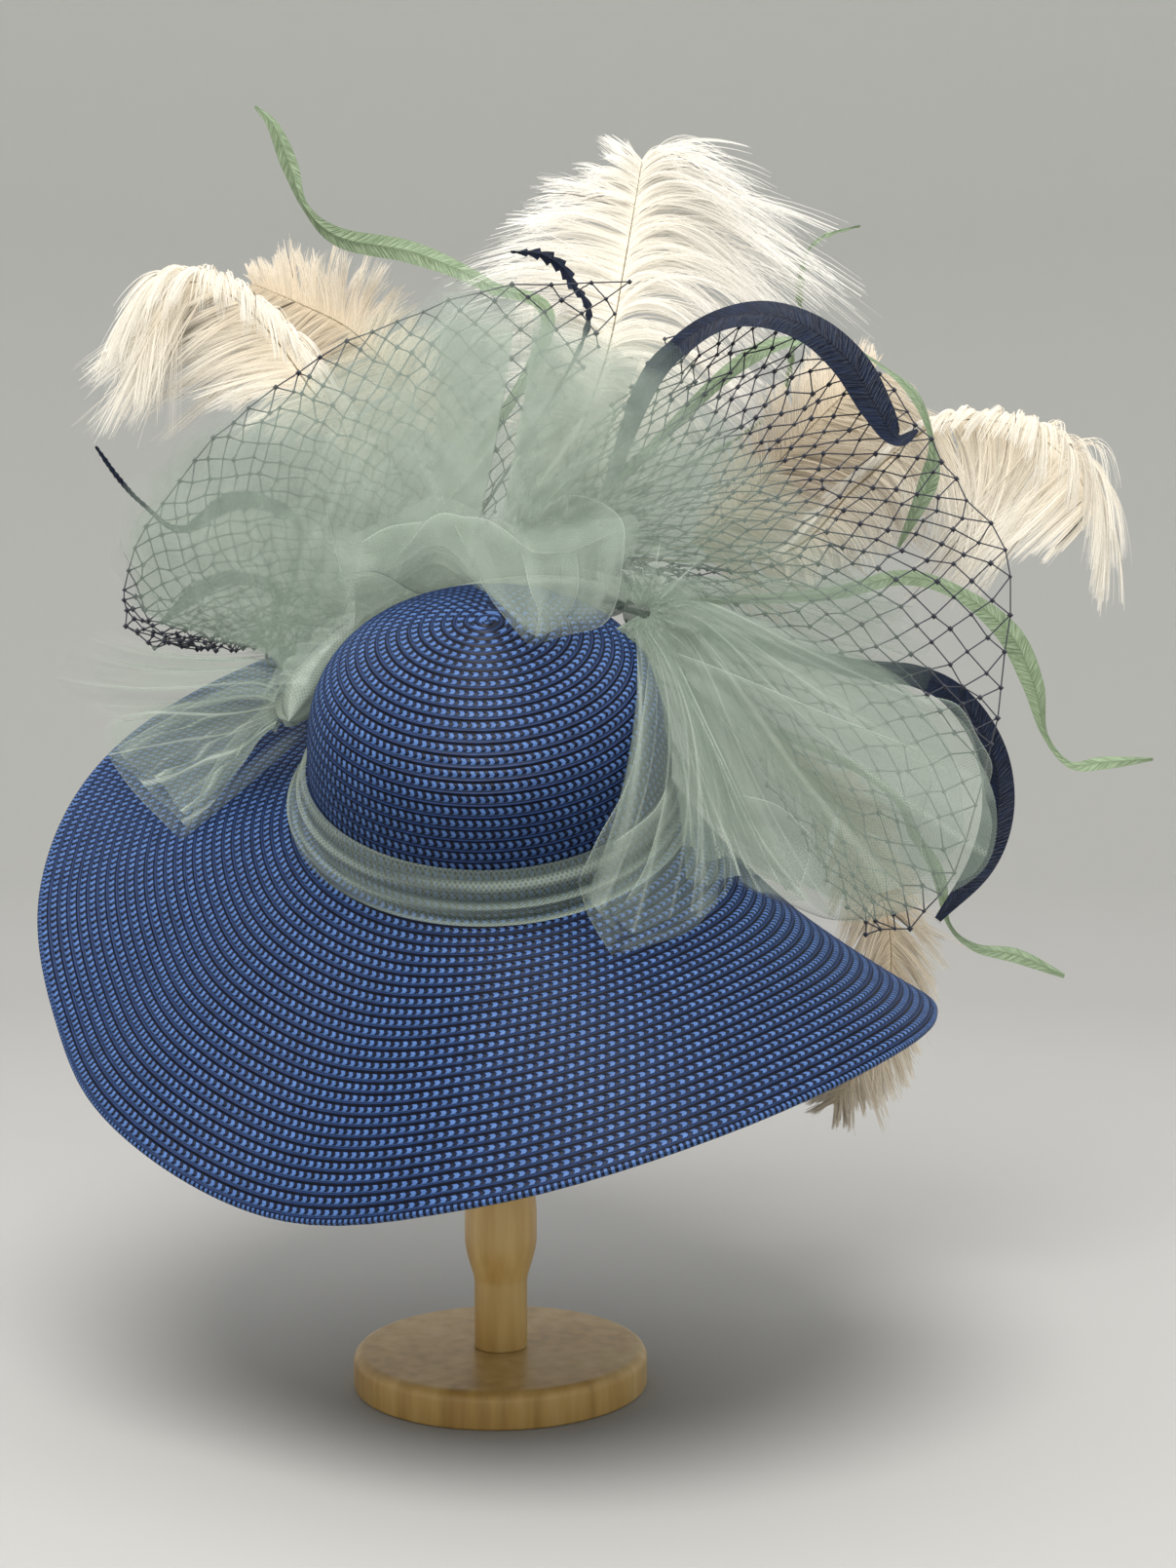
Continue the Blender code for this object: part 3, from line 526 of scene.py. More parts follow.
def add_turned(name, profile, sides, node):
    """A smooth turned piece about the world's Z axis. Profile rows: radius, height."""
    angles = np.linspace(0, 2 * math.pi, sides + 1)
    rows = np.array(profile, float)
    ring = np.stack([np.cos(angles), np.sin(angles), 0 * angles], -1)
    points = rows[:, 0][:, None, None] * ring + rows[:, 1][:, None, None] * UP
    piece = new_piece(name, points, grid_faces(len(rows), sides + 1), WOOD, (node,))
    piece.data.set_sharp_from_angle(angle=math.radians(40))
    return piece


def add_stand():
    top = STAND_BASE_HEIGHT
    turns = np.radians(np.linspace(0, 90, 9))
    low = [(STAND_BASE_RADIUS - 1.5 + 1.5 * math.sin(t), 1.5 - 1.5 * math.cos(t)) for t in turns]
    high = [(STAND_BASE_RADIUS - 5 + 5 * math.cos(t), top - 5 + 5 * math.sin(t)) for t in turns]
    add_turned("stand_base_wood", [(0.0, 0.0), *low, *high, (0.0, top)], 96, "stand_base")
    swell = STAND_BULGE_RADIUS - STAND_POST_RADIUS
    heights = np.linspace(50.0, 116.0, 40)
    shares = np.clip(np.minimum((heights - 52) / 22, (114 - heights) / 30), 0, 1)
    radii = STAND_POST_RADIUS + swell * np.sin(shares * math.pi / 2) ** 1.2
    post = [(0.0, top + SEAT_GAP), (STAND_POST_RADIUS, top + SEAT_GAP), *zip(radii, heights)]
    post += [(STAND_POST_RADIUS, STAND_HEAD_BOTTOM - SEAT_GAP), (0.0, STAND_HEAD_BOTTOM - SEAT_GAP)]
    add_turned("stand_post_wood", post, 64, "stand_post")
    rise = STAND_HEAD_TOP - STAND_HEAD_BOTTOM - 3.0
    turns = np.radians(np.linspace(8, 90, 20))
    dome = [(STAND_HEAD_RADIUS * math.cos(t), STAND_HEAD_BOTTOM + 3 + rise * math.sin(t)) for t in turns]
    bottom = (STAND_HEAD_RADIUS - 3.0, STAND_HEAD_BOTTOM)
    add_turned("stand_head_wood", [(0.0, STAND_HEAD_BOTTOM), bottom, *dome], 64, "stand_head")


# Sewn braid

# One row of braid. Columns: share across the row, height above the wall in millimetres
BRAID_PROFILE = (
    (0.0, 0.05),
    (0.08, 0.75),
    (0.18, 0.80),
    (0.27, 0.0),
    (0.35, -0.1),
    (0.45, 0.42),
    (0.65, 0.6),
    (0.88, 0.4),
)
# The row where the crown turns into the brim. Columns: distance off the crown, height
FOOT_PROFILE = ((-2.6, 0.6), (-1.2, -0.7), (0.4, -1.3), (2.1, -1.4))


def braid_grid(length, columns, reach):
    """Angles, distances, heights and braid values of spiral rows of braid over a length."""
    rows = int(length / BRAID_PITCH) + 2
    shares, heights = np.array(BRAID_PROFILE).T
    place = (np.arange(rows)[:, None] + shares).ravel()
    turn = np.linspace(0, 1, columns + 1)
    distance = BRAID_PITCH * (place[:, None] - turn)
    keep = (distance.max(axis=1) > 0) & (distance.min(axis=1) < length)
    distance = np.clip(distance[keep], 0, length)
    angle = SPIRAL_START + 2 * math.pi * turn + 0 * distance
    row = np.floor(place[keep])[:, None]
    fade = np.clip(np.minimum(distance, length - distance) / 2.0, 0, 1)
    around = angle * reach(BRAID_PITCH * (row + 0.5 - turn)) / STITCH_PITCH
    values = together(around, np.tile(shares, rows)[keep][:, None], row)
    return angle, distance, np.tile(heights, rows)[keep][:, None] * fade, values


def meridian():
    """Heights on the crown, and how far each is from the top along the skin."""
    turns = np.linspace(0, 1, 400)
    heights = CROWN_HEIGHT * (1 - turns**2.2)
    step = np.hypot(np.diff(crown_radius(heights)), np.diff(heights))
    return heights, np.concatenate([[0], np.cumsum(step)])


def add_crown_side(name, columns, off, share, side):
    """Braid rows that far off the crown's outer skin, with a share of their height."""
    heights, run = meridian()

    def reach(distance):
        return crown_radius(np.interp(np.clip(distance, 0, run[-1]), run, heights)) * OVAL_MEAN

    angle, distance, lift, values = braid_grid(run[-1], columns, reach)
    points = hat_to_world(crown_point(angle, np.interp(distance, run, heights), off + share * lift))
    faces = grid_faces(*angle.shape)[:, ::side]
    new_piece(name, points, faces, STRAW, ("crown",), {"braid": values})


def add_crown():
    add_crown_side("crown_braid", CROWN_COLUMNS, 0.0, 1.0, 1)
    add_crown_side("crown_inside", CROWN_INSIDE_COLUMNS, -2.3, -0.5, -1)
    angle = np.linspace(0, 2 * math.pi, 145)
    out, height = np.array(FOOT_PROFILE).T[..., None]
    points = hat_to_world(crown_point(angle + 0 * out, 0.0, out) + height[..., None] * UP)
    values = together(angle * 38, 0.45 + 0.1 * out, 0.0)
    new_piece("crown_foot", points, grid_faces(4, 145), STRAW, ("crown",), {"braid": values})


def brim_surface(angle, distance):
    """Points of the brim's upper surface, in the hat's frame, at distances from the lip."""
    steps = 64
    droop = np.radians(round_table(BRIM_DROOP, angle[0]))
    lean = droop[None, :] * (1 + BRIM_CURL * ((2 * np.arange(steps)[:, None] + 1) / steps - 1))
    out = np.concatenate([0 * droop[None], np.cumsum(np.cos(lean), axis=0)]) * BRIM_REACH / steps
    fall = np.concatenate([0 * droop[None], np.cumsum(np.sin(lean), axis=0)]) * BRIM_REACH / steps
    spot = np.clip(distance / BRIM_REACH * steps, 0, steps - 1e-6)
    low = spot.astype(int)
    part = spot - low
    column = np.arange(angle.shape[1])[None, :] + 0 * low
    run = out[low, column] * (1 - part) + out[low + 1, column] * part
    sink = fall[low, column] * (1 - part) + fall[low + 1, column] * part
    radius = BRIM_HALF_WIDTH
    foot = np.stack([radius * np.cos(angle), radius * OVAL_RATIO * np.sin(angle), 0 * angle], -1)
    return foot + run[..., None] * oval_out(angle) - sink[..., None] * UP


def grid_normals(points):
    return unit(np.cross(np.gradient(points, axis=1), np.gradient(points, axis=0)))


def add_brim_side(name, columns, side):
    """Braid rows on the upper side or the underside of the brim. Returns its even surface."""

    def reach(distance):
        return BRIM_HALF_WIDTH * OVAL_MEAN + distance

    angle, distance, lift, values = braid_grid(BRIM_REACH, columns, reach)
    rows = np.linspace(0, BRIM_REACH, EVEN_ROWS)[:, None] + 0 * angle[:1]
    turn = angle[:1] + 0 * rows
    even = brim_surface(turn, rows)
    normals = -grid_normals(even)
    last = EVEN_ROWS - 1
    place = np.rint(np.clip(distance / BRIM_REACH * last, 0, last)).astype(int)
    normal = normals[place, np.arange(angle.shape[1]) + 0 * place]
    height = lift if side > 0 else -BRIM_WALL - 0.6 * lift
    points = hat_to_world(brim_surface(angle, distance) + height[..., None] * normal)
    faces = grid_faces(*angle.shape)[:, ::side]
    new_piece(name, points, faces, STRAW, ("brim",), {"braid": values})
    return even, normals, turn


def add_brim_edge(even, normals, turn):
    """The last row of braid, doubled over the edge."""
    normal = normals[-1]
    out = unit(even[-1] - even[-2])
    middle = even[-1] - normal * BRIM_WALL / 2 - out * EDGE_INSET
    turns = np.linspace(0, 2 * math.pi, 9)[:, None, None]
    edge = middle + EDGE_RADIUS * (np.cos(turns) * out + np.sin(turns) * normal)
    values = together(turn[:9] * 90, 0.6, 0.0)
    faces = grid_faces(9, turn.shape[1])
    new_piece("brim_edge", hat_to_world(edge), faces, STRAW, ("brim",), {"braid": values})


def add_brim():
    add_brim_side("brim_underside", UNDERSIDE_COLUMNS, -1)
    add_brim_edge(*add_brim_side("brim_braid", BRIM_COLUMNS, 1))


# Roots on the gathered roll and the knot


def roll_height(angle):
    part = (np.degrees(angle) - ROLL_START) / (ROLL_END - ROLL_START)
    return ROLL_HEIGHT_START + (ROLL_HEIGHT_END - ROLL_HEIGHT_START) * part


def roll_centre(degrees):
    angle = np.radians(np.asarray(degrees, float))
    return crown_point(angle, roll_height(angle), ROLL_RADIUS + ROLL_RIDGE + 0.6)


def roll_radius(lift):
    return ROLL_RADIUS + ROLL_RIDGE * np.cos(ROLL_RIDGES * np.radians(np.asarray(lift, float)))


def roll_slot(degrees, lift, distance):
    """A point off the roll's middle line: lift 0 is outward, 90 up the crown."""
    angle = np.radians(np.asarray(degrees, float))
    lift = np.radians(np.asarray(lift, float))
    aim = np.cos(lift)[..., None] * oval_out(angle) + np.sin(lift)[..., None] * UP
    return hat_to_world(roll_centre(degrees) + np.asarray(distance)[..., None] * aim)


def knot_centre():
    return hat_to_world(crown_point(np.radians(KNOT_ANGLE), KNOT_HEIGHT, KNOT_RADIUS - 0.8))


def stem_start(degrees, lift, first_row):
    """The two first points of a stem that leaves the roll on its way to a table's first row."""
    start = roll_slot(degrees, lift, roll_radius(lift) + ROOT_GAP)
    aim = unit(start - roll_slot(degrees, lift, 0.0))
    run = np.linalg.norm(np.array(first_row[:3]) - start)
    return start, start + aim * STEM_LEAD * run


def roll_lines(first, last, lift, lead, table):
    """Root, handle and rim lines of a sheet that leaves the roll between two angles."""
    degrees = np.linspace(first, last, 9)
    root = roll_slot(degrees, lift, roll_radius(lift) + SHEET_GAP)
    near = roll_slot(degrees, lift, ROLL_RADIUS + lead)
    rows = np.array(table, float)
    return root, near, rows[:, 0:3], rows[:, 3:6]


def knot_lines(first_aim, last_aim, lead, table):
    part = np.linspace(0, 1, 9)[:, None]
    aims = unit(np.array(first_aim) * (1 - part) + np.array(last_aim) * part)
    root = knot_centre() + aims * (KNOT_RADIUS + KNOT_GAP)
    near = knot_centre() + aims * (KNOT_RADIUS + lead)
    rows = np.array(table, float)
    return root, near, rows[:, 0:3], rows[:, 3:6]


# Tulle. Each row is one spoke of a sheet: its far handle x, y, z and its rim x, y, z.
CLOUD_LEFT = (
    (-155, 55, 366, -205, 88, 392),
    (-160, 58, 392, -212, 92, 440),
    (-150, 58, 418, -192, 100, 474),
    (-115, 60, 446, -140, 100, 510),
    (-75, 60, 465, -85, 100, 545),
    (-35, 60, 475, -35, 100, 563),
    (0, 62, 470, 5, 100, 561),
)
CLOUD_RIGHT = (
    (10, 54, 466, 16, 90, 557),
    (28, 50, 460, 45, 86, 540),
    (48, 46, 455, 75, 83, 530),
    (68, 44, 445, 106, 80, 503),
    (88, 42, 432, 140, 77, 470),
    (106, 40, 418, 170, 72, 436),
    (125, 38, 404, 206, 66, 404),
    (135, 34, 390, 214, 56, 378),
)
FAN_RIGHT = (
    (130, 14, 374, 196, 42, 357),
    (144, 10, 354, 228, 42, 333),
    (150, 4, 336, 248, 40, 306),
    (148, -4, 318, 253, 36, 277),
    (140, -8, 304, 243, 30, 252),
    (128, -12, 298, 212, 24, 236),
    (118, -16, 296, 176, 12, 228),
    (110, -20, 300, 148, -4, 244),
    (102, -26, 308, 114, -26, 262),
)
CLOUD_LOW = (
    (132, 38, 398, 204, 64, 402),
    (140, 34, 388, 220, 60, 386),
    (142, 28, 378, 228, 54, 370),
    (138, 22, 369, 228, 48, 356),
    (132, 16, 362, 214, 42, 346),
)
FAN_LOW = (
    (110, -20, 300, 150, -6, 242),
    (106, -27, 300, 134, -20, 244),
    (102, -35, 302, 119, -36, 248),
    (98, -43, 306, 107, -52, 252),
    (93, -50, 312, 98, -66, 256),
    (86, -54, 318, 88, -74, 262),
)
POUF = (
    (-80, 5, 440, -77, -5, 396),
    (-58, 0, 455, -52, -20, 401),
    (-30, -8, 470, -28, -32, 413),
    (-4, -25, 462, -6, -50, 393),
    (20, -45, 452, 17, -74, 371),
    (44, -38, 450, 36, -62, 375),
    (62, -25, 455, 52, -48, 380),
    (76, 0, 450, 66, -12, 412),
)
TAIL_LEFT = (
    (-128, 26, 308, -162, 14, 278),
    (-140, 45, 320, -188, 54, 298),
    (-150, 75, 332, -221, 106, 320),
    (-148, 105, 348, -200, 140, 340),
)
WING_LEFT = (
    (-155, 30, 330, -216, 56, 330),
    (-165, 36, 338, -236, 66, 348),
    (-165, 40, 346, -236, 72, 366),
    (-152, 40, 354, -205, 68, 376),
)
VEIL_LEFT = (
    (-150, 74, 360, -175, 98, 368),
    (-160, 84, 368, -204, 106, 380),
    (-162, 90, 384, -211, 114, 405),
    (-150, 95, 406, -192, 122, 447),
    (-125, 98, 430, -160, 128, 490),
    (-95, 100, 450, -118, 130, 525),
    (-60, 100, 465, -66, 130, 550),
    (-20, 100, 475, -10, 130, 570),
    (24, 100, 475, 68, 130, 570),
)
VEIL_RIGHT = (
    (34, 100, 466, 86, 128, 542),
    (52, 98, 466, 118, 126, 549),
    (72, 98, 464, 150, 124, 550),
    (90, 96, 458, 180, 126, 540),
    (106, 94, 448, 206, 126, 516),
    (122, 92, 436, 229, 124, 490),
    (138, 88, 420, 250, 120, 456),
    (156, 84, 400, 275, 112, 415),
    (160, 78, 372, 270, 104, 352),
    (158, 70, 345, 258, 92, 306),
    (154, 62, 318, 242, 76, 252),
    (146, 52, 298, 214, 60, 224),
    (138, 44, 290, 186, 44, 218),
)

# Rows: near handle, far handle and rim of the tail in front.
TAIL_FRONT = (
    (70, -68, 358, 66, -108, 302, 42, -94, 252),
    (80, -60, 354, 80, -98, 302, 58, -112, 234),
    (88, -52, 350, 94, -84, 303, 80, -106, 236),
    (94, -44, 347, 104, -68, 305, 100, -88, 242),
    (98, -36, 345, 108, -54, 308, 112, -56, 254),
)

# Folded edges that stand out of a sheet, as read in the photo, in its pixels. Columns: across and
# down at the crease, across and down at the inner side of its fold.
FOLDS_POUF = (
    (
        (396, 586, 420, 607),
        (418, 560, 436, 585),
        (437, 536, 449, 562),
        (455, 527, 461, 547),
        (476, 531, 478, 550),
        (497, 533, 497, 552),
        (518, 544, 514, 563),
        (537, 559, 528, 577),
    ),
    (
        (466, 538, 495, 535),
        (484, 575, 507, 575),
        (503, 613, 520, 608),
        (526, 644, 537, 632),
        (543, 663, 549, 648),
    ),
    (
        (543, 663, 545, 646),
        (580, 652, 575, 634),
        (617, 642, 600, 622),
        (633, 618, 610, 600),
        (640, 578, 613, 575),
        (641, 540, 611, 550),
        (627, 523, 603, 537),
        (602, 510, 590, 527),
        (579, 508, 575, 522),
    ),
    (
        (537, 559, 540, 540),
        (552, 567, 560, 546),
        (587, 565, 590, 542),
        (633, 546, 625, 525),
    ),
    (
        (537, 570, 556, 575),
        (545, 605, 562, 605),
        (552, 630, 567, 628),
        (549, 659, 560, 650),
    ),
    (
        (591, 565, 573, 568),
        (594, 603, 575, 598),
        (580, 634, 564, 622),
        (552, 657, 547, 642),
    ),
    (
        (336, 525, 358, 525),
        (343, 556, 366, 556),
        (350, 588, 376, 578),
    ),
    (
        (350, 592, 360, 573),
        (388, 588, 392, 568),
        (426, 609, 430, 588),
        (453, 613, 456, 594),
    ),
    (
        (372, 556, 380, 575),
        (400, 540, 405, 562),
        (437, 536, 432, 558),
    ),
)
FOLDS_FAN = (
    (
        (669, 661, 675, 668),
        (760, 695, 752, 716),
        (850, 733, 835, 768),
        (945, 770, 925, 805),
    ),
    (
        (690, 682, 706, 680),
        (718, 709, 745, 708),
        (750, 750, 784, 745),
        (780, 790, 816, 782),
        (806, 822, 842, 815),
        (832, 855, 858, 840),
    ),
    (
        (800, 742, 822, 735),
        (826, 776, 850, 764),
        (850, 807, 873, 790),
        (875, 820, 895, 800),
        (910, 832, 922, 808),
        (947, 843, 950, 818),
    ),
    (
        (682, 706, 692, 702),
        (692, 732, 708, 728),
        (704, 758, 724, 752),
        (712, 812, 738, 800),
        (733, 842, 757, 828),
        (757, 863, 780, 848),
    ),
    (
        (832, 855, 854, 848),
        (829, 882, 854, 880),
        (821, 911, 848, 914),
    ),
    (
        (945, 770, 922, 775),
        (957, 798, 933, 800),
        (950, 822, 926, 822),
        (947, 846, 923, 846),
        (947, 874, 922, 874),
        (957, 897, 932, 900),
    ),
    (
        (762, 815, 756, 838),
        (800, 828, 794, 850),
        (832, 855, 822, 872),
    ),
    (
        (700, 800, 722, 790),
        (728, 838, 750, 822),
        (766, 872, 788, 852),
        (800, 898, 815, 872),
        (821, 911, 838, 885),
    ),
    (
        (741, 914, 745, 898),
        (794, 922, 796, 905),
        (853, 944, 852, 925),
        (905, 940, 900, 920),
        (943, 933, 935, 912),
    ),
    (
        (940, 713, 935, 728),
        (982, 722, 972, 738),
        (1004, 756, 990, 765),
        (1018, 784, 1000, 788),
        (1013, 813, 996, 812),
    ),
)
FOLDS_FRONT = (
    (
        (666, 675, 678, 680),
        (658, 740, 673, 745),
        (643, 803, 662, 806),
        (615, 860, 640, 866),
        (594, 905, 620, 908),
    ),
    (
        (594, 905, 616, 908),
        (604, 940, 625, 938),
        (627, 980, 642, 962),
    ),
    (
        (627, 980, 634, 964),
        (662, 972, 660, 956),
        (713, 953, 703, 938),
        (741, 914, 726, 908),
    ),
    (
        (684, 807, 694, 818),
        (668, 835, 680, 848),
        (628, 866, 645, 884),
    ),
    (
        (640, 928, 655, 935),
        (665, 883, 680, 890),
        (684, 812, 698, 820),
    ),
)
FOLDS_LEFT = (
    (
        (110, 775, 122, 785),
        (150, 750, 160, 765),
        (200, 722, 208, 738),
        (245, 702, 250, 720),
        (300, 694, 300, 710),
    ),
    (
        (110, 775, 125, 770),
        (140, 815, 155, 805),
        (187, 862, 195, 842),
    ),
    (
        (187, 862, 182, 845),
        (220, 835, 213, 818),
        (260, 800, 252, 785),
        (318, 750, 310, 740),
    ),
    (
        (187, 862, 205, 850),
        (214, 795, 232, 795),
        (250, 745, 265, 752),
        (300, 705, 305, 715),
    ),
)


def smooth_sheet(lines, columns, rows):
    """Points of a sheet between its root line and its rim, with no folds."""
    across = np.linspace(0, 1, columns + 1)
    root, near, far, rim = [along(line, across) for line in lines]
    out = np.linspace(0, 1, rows + 1)[:, None, None]
    smooth = (1 - out) ** 3 * root + 3 * (1 - out) ** 2 * out * near
    return smooth + 3 * (1 - out) * out**2 * far + out**3 * rim


def triangle(turns):
    """A wave of straight slopes from -1 to 1."""
    return np.arcsin(np.sin(2 * math.pi * turns)) * 2 / math.pi


def sheet_waves(rng, shape, folds, lean):
    """Three waves of straight pleats over a sheet, each finer than the last."""
    across = np.linspace(0, 1, shape[1])
    out = np.linspace(0, 1, shape[0])[:, None]
    waves = []
    for finer in (1.0, 1.6, 2.7):
        slant = rng.uniform(-lean, lean)
        phase = rng.uniform(0, 1)
        wander = smooth_noise(rng, shape, (2, 2), 0.4 * lean)
        waves.append(triangle(finer * folds * (across + slant * out) + phase + wander))
    return waves


def ruffled_sheet(
    lines,
    folds,
    depth,
    seed,
    reach=1.0,
    fade=0.0,
    thick=(1, 1),
    pleat=0.5,
    rag=0.045,
    shading_and_tone=(0.4, 0.4),
    lean=0.3,
):
    """A sheet in flat facets with straight creases, with its cloth values and its fold values.

    It reaches that share of the way to its rim and fades out there. Its thickness and its painted
    shade run from the first side to the last, its rim is ragged by a share, and its pleats lean by
    up to lean. The shade is also painted darker towards the root and on one side of the middle pleats.
    """
    rng = np.random.default_rng(seed)
    shape = (SHEET_ROWS + 1, SHEET_COLUMNS + 1)
    smooth = smooth_sheet(lines, SHEET_COLUMNS, SHEET_ROWS)
    ragged = reach + smooth_noise(rng, (1, shape[1]), (1, 2 * folds), rag)
    smooth = smooth[0] + (smooth - smooth[0]) * ragged[..., None]
    waves = sheet_waves(rng, shape, folds, lean)
    crumple = smooth_noise(rng, shape, (3, folds), 0.5) + rng.uniform(-0.6, 0.6)
    across = np.linspace(0, 1, shape[1])
    out = np.linspace(0, 1, shape[0])[:, None]
    offset = depth * out**1.1 * (0.55 * waves[0] + 0.35 * waves[1] + 0.2 * waves[2] + crumple)
    grid = smooth + grid_normals(smooth) * offset[..., None]
    run = np.cumsum(np.linalg.norm(np.diff(grid, axis=0, prepend=grid[:1]), axis=-1), axis=0)
    step = np.linalg.norm(np.diff(grid, axis=1, prepend=grid[:, :1]), axis=-1)
    gathered = np.clip(np.sqrt(step[-1] / np.maximum(step, 0.05)), 1, 2.2)
    rim = np.clip((1 - out) / 0.04, 0.35 + 0.65 * (fade == 0), 1)
    density = gathered * (1 - fade * out**2) * rim * (thick[0] + (thick[1] - thick[0]) * across)
    # Painted shade: darker towards the root, by the sheet's tone from side to side, and on one side of the
    # middle pleats
    shade = shading_and_tone[0] + (shading_and_tone[1] - shading_and_tone[0]) * across + 0.35 * (out - 0.6) + 0.14 * waves[1]
    # Tone that differs at random
    shade = shade + smooth_noise(rng, shape, (3, 2 * folds), 0.2)
    cloth = together(np.cumsum(step[-1]) + 500 * seed, run, density)
    return grid, cloth, together(waves[0], pleat, shade)


def add_sheet(name, node, lines, folds, depth, seed, finish=TULLE, **more):
    """One layer of tulle.

    Its faces look to the front and its normals lean to the light, which sheer cloth lets through.
    """
    grid, cloth, fold = ruffled_sheet(lines, folds, depth, seed, **more)
    faces = grid_faces(*grid.shape[:2])
    corners = grid.reshape(-1, 3)[faces]
    facing = np.cross(corners[:, 2] - corners[:, 0], corners[:, 3] - corners[:, 1]) @ WORLD_BACK
    faces[facing > 0] = faces[facing > 0][:, ::-1]
    normal = grid_normals(grid)
    normal = unit(TULLE_LIT + 0.8 * normal * (normal @ TULLE_LIT)[..., None])
    values = {"cloth": cloth, "fold": fold}
    piece = new_piece(name, grid, faces, finish, (node,), values, normal)


def add_layers(name, node, lines, folds, depth, seed, reaches, **more):
    """Several layers of tulle, each a little shorter than the last."""
    for index, reach in enumerate(reaches):
        turn = folds + (index * 2) % 3 - 1
        add_sheet(f"{name}_{'abcde'[index]}", node, lines, turn, depth, seed + index, reach=reach, **more)


def photo_pixels(points):
    """Where the photo shows points: pixels across and down."""
    offset = points - CAMERA_PLACE
    away = offset @ AHEAD
    across = PHOTO_WIDTH / 2 + PHOTO_LENS * (offset @ RIGHT) / away
    return across, PHOTO_HEIGHT / 2 - PHOTO_LENS * (offset @ ABOVE) / away


def photo_place(spot, depth):
    """The place at a depth along Y that the photo shows at a spot."""
    aside = (spot[0] - PHOTO_WIDTH / 2) * RIGHT + (PHOTO_HEIGHT / 2 - spot[1]) * ABOVE
    aim = AHEAD + aside / PHOTO_LENS
    return CAMERA_PLACE + (depth - CAMERA_PLACE[1]) / aim[1] * aim


def sheet_depth(sheet, pixels, spot):
    """Depth of a sheet's front where the photo shows it at a spot."""
    gap = (pixels[0] - spot[0]) ** 2 + (pixels[1] - spot[1]) ** 2
    return sheet[gap < max(1.5 * gap.min(), 30.0), 1].min()


def placed_folds(folds, lines, lift):
    """Creases in pixels, laid in whole millimetres in front of the smooth sheet between lines."""
    sheet = smooth_sheet(lines, 160, 80).reshape(-1, 3)
    pixels = photo_pixels(sheet)
    placed = []
    for fold in folds:
        rows = []
        for row in fold:
            outer = sheet_depth(sheet, pixels, row[:2])
            inner = np.clip(sheet_depth(sheet, pixels, row[2:]), outer - 10, outer + 10)
            places = photo_place(row[:2], outer - lift), photo_place(row[2:], inner - lift / 2)
            rows.append(np.round(np.concatenate(places)))
        placed.append(rows)
    return placed


# One folded edge from its crease inwards. Columns: share of the way, density, bulge in millimetres
FOLD_PROFILE = ((0.0, 2.6, 0.0), (0.05, 2.6, 0.5), (0.14, 1.5, 1.2), (0.5, 1.1, 2.0), (1.0, 0.35, 0.0))


def add_folds(name, node, folds, scale=1.0):
    """Creases of folded tulle: each is dense at its edge, with a painted highlight there, and thins out
    inwards.
    """
    share, dense, bulge = np.array(FOLD_PROFILE).T
    step = np.arange(FOLD_STEPS + 1)
    ends = np.clip(np.minimum(step, FOLD_STEPS - step) / 3, 0.25, 1)[:, None]
    grids, cloth, fold, faces = [], [], [], []
    for number, rows in enumerate(folds):
        path = along(rows, np.linspace(0, 1, FOLD_STEPS + 1))
        crease, inner = path[:, None, :3], path[:, None, 3:]
        grid = crease + (inner - crease) * share[:, None] - bulge[:, None] * WORLD_BACK
        run = np.linalg.norm(np.diff(grid[:, :1], axis=0, prepend=grid[:1, :1]), axis=-1).cumsum(axis=0)
        out = np.linalg.norm(inner - crease, axis=-1) * share
        cloth.append(together(run + 37 * number, out, scale * dense * ends))
        fold.append(together(np.clip(1 - 9 * share, 0, 1), 0.9, 0.6 + 0 * out))
        faces.append(grid_faces(*grid.shape[:2], number * out.size))
        grids.append(grid)
    values = {"cloth": np.concatenate(cloth), "fold": np.concatenate(fold)}
    piece = new_piece(name, np.concatenate(grids), np.concatenate(faces), TULLE, (node,), values)


def fold_and_shade_values(folds, axis, strength, shading_and_tone=0.3):
    """Fold values of a bunched surface whose folds are given as heights in millimetres, with painted
    shade: lighter on raised folds and darker on one slope.
    """
    slope = np.gradient(folds, axis=axis)
    return together(folds * 0.7, strength, np.clip(shading_and_tone + 0.2 * folds - 0.2 * slope, 0, 1))


# Section of the band. Columns: distance out from the crown, height above the brim
BAND_PROFILE = ((12.0, 3.4), (10.8, 6.5), (9.2, 9.5), (6.6, 12.0), (5.0, 18.0), (1.6, 26.5))


def add_band():
    """Tulle gathered lengthwise round the foot of the crown."""
    rng = np.random.default_rng(5)
    columns = 200
    rows = 44
    path = along(BAND_PROFILE, np.linspace(0, 1, rows))
    angle = np.linspace(0, 2 * math.pi, columns + 1)[None, :] + np.zeros((rows, 1))
    folds = smooth_noise(rng, (rows, columns + 1), (11, 5), 1.3)
    folds[:, -1] = folds[:, 0]
    blend = np.clip(np.linspace(0, 12, columns + 1), 0, 1)[None, :]
    folds = folds * blend + folds[:, :1] * (1 - blend)
    points = hat_to_world(crown_point(angle, path[:, 1:] + 0.8 * folds, path[:, :1] + folds))
    density = 1.0 + np.abs(np.gradient(folds, axis=0)) * 2
    cloth = together(angle * 95, np.linspace(0, 30, rows)[:, None], density)
    values = {"cloth": cloth, "fold": fold_and_shade_values(folds, 0, 0.5)}
    faces = grid_faces(rows, columns + 1)
    piece = new_piece("band_tulle", points, faces, TULLE_FULL, ("hat_band",), values)


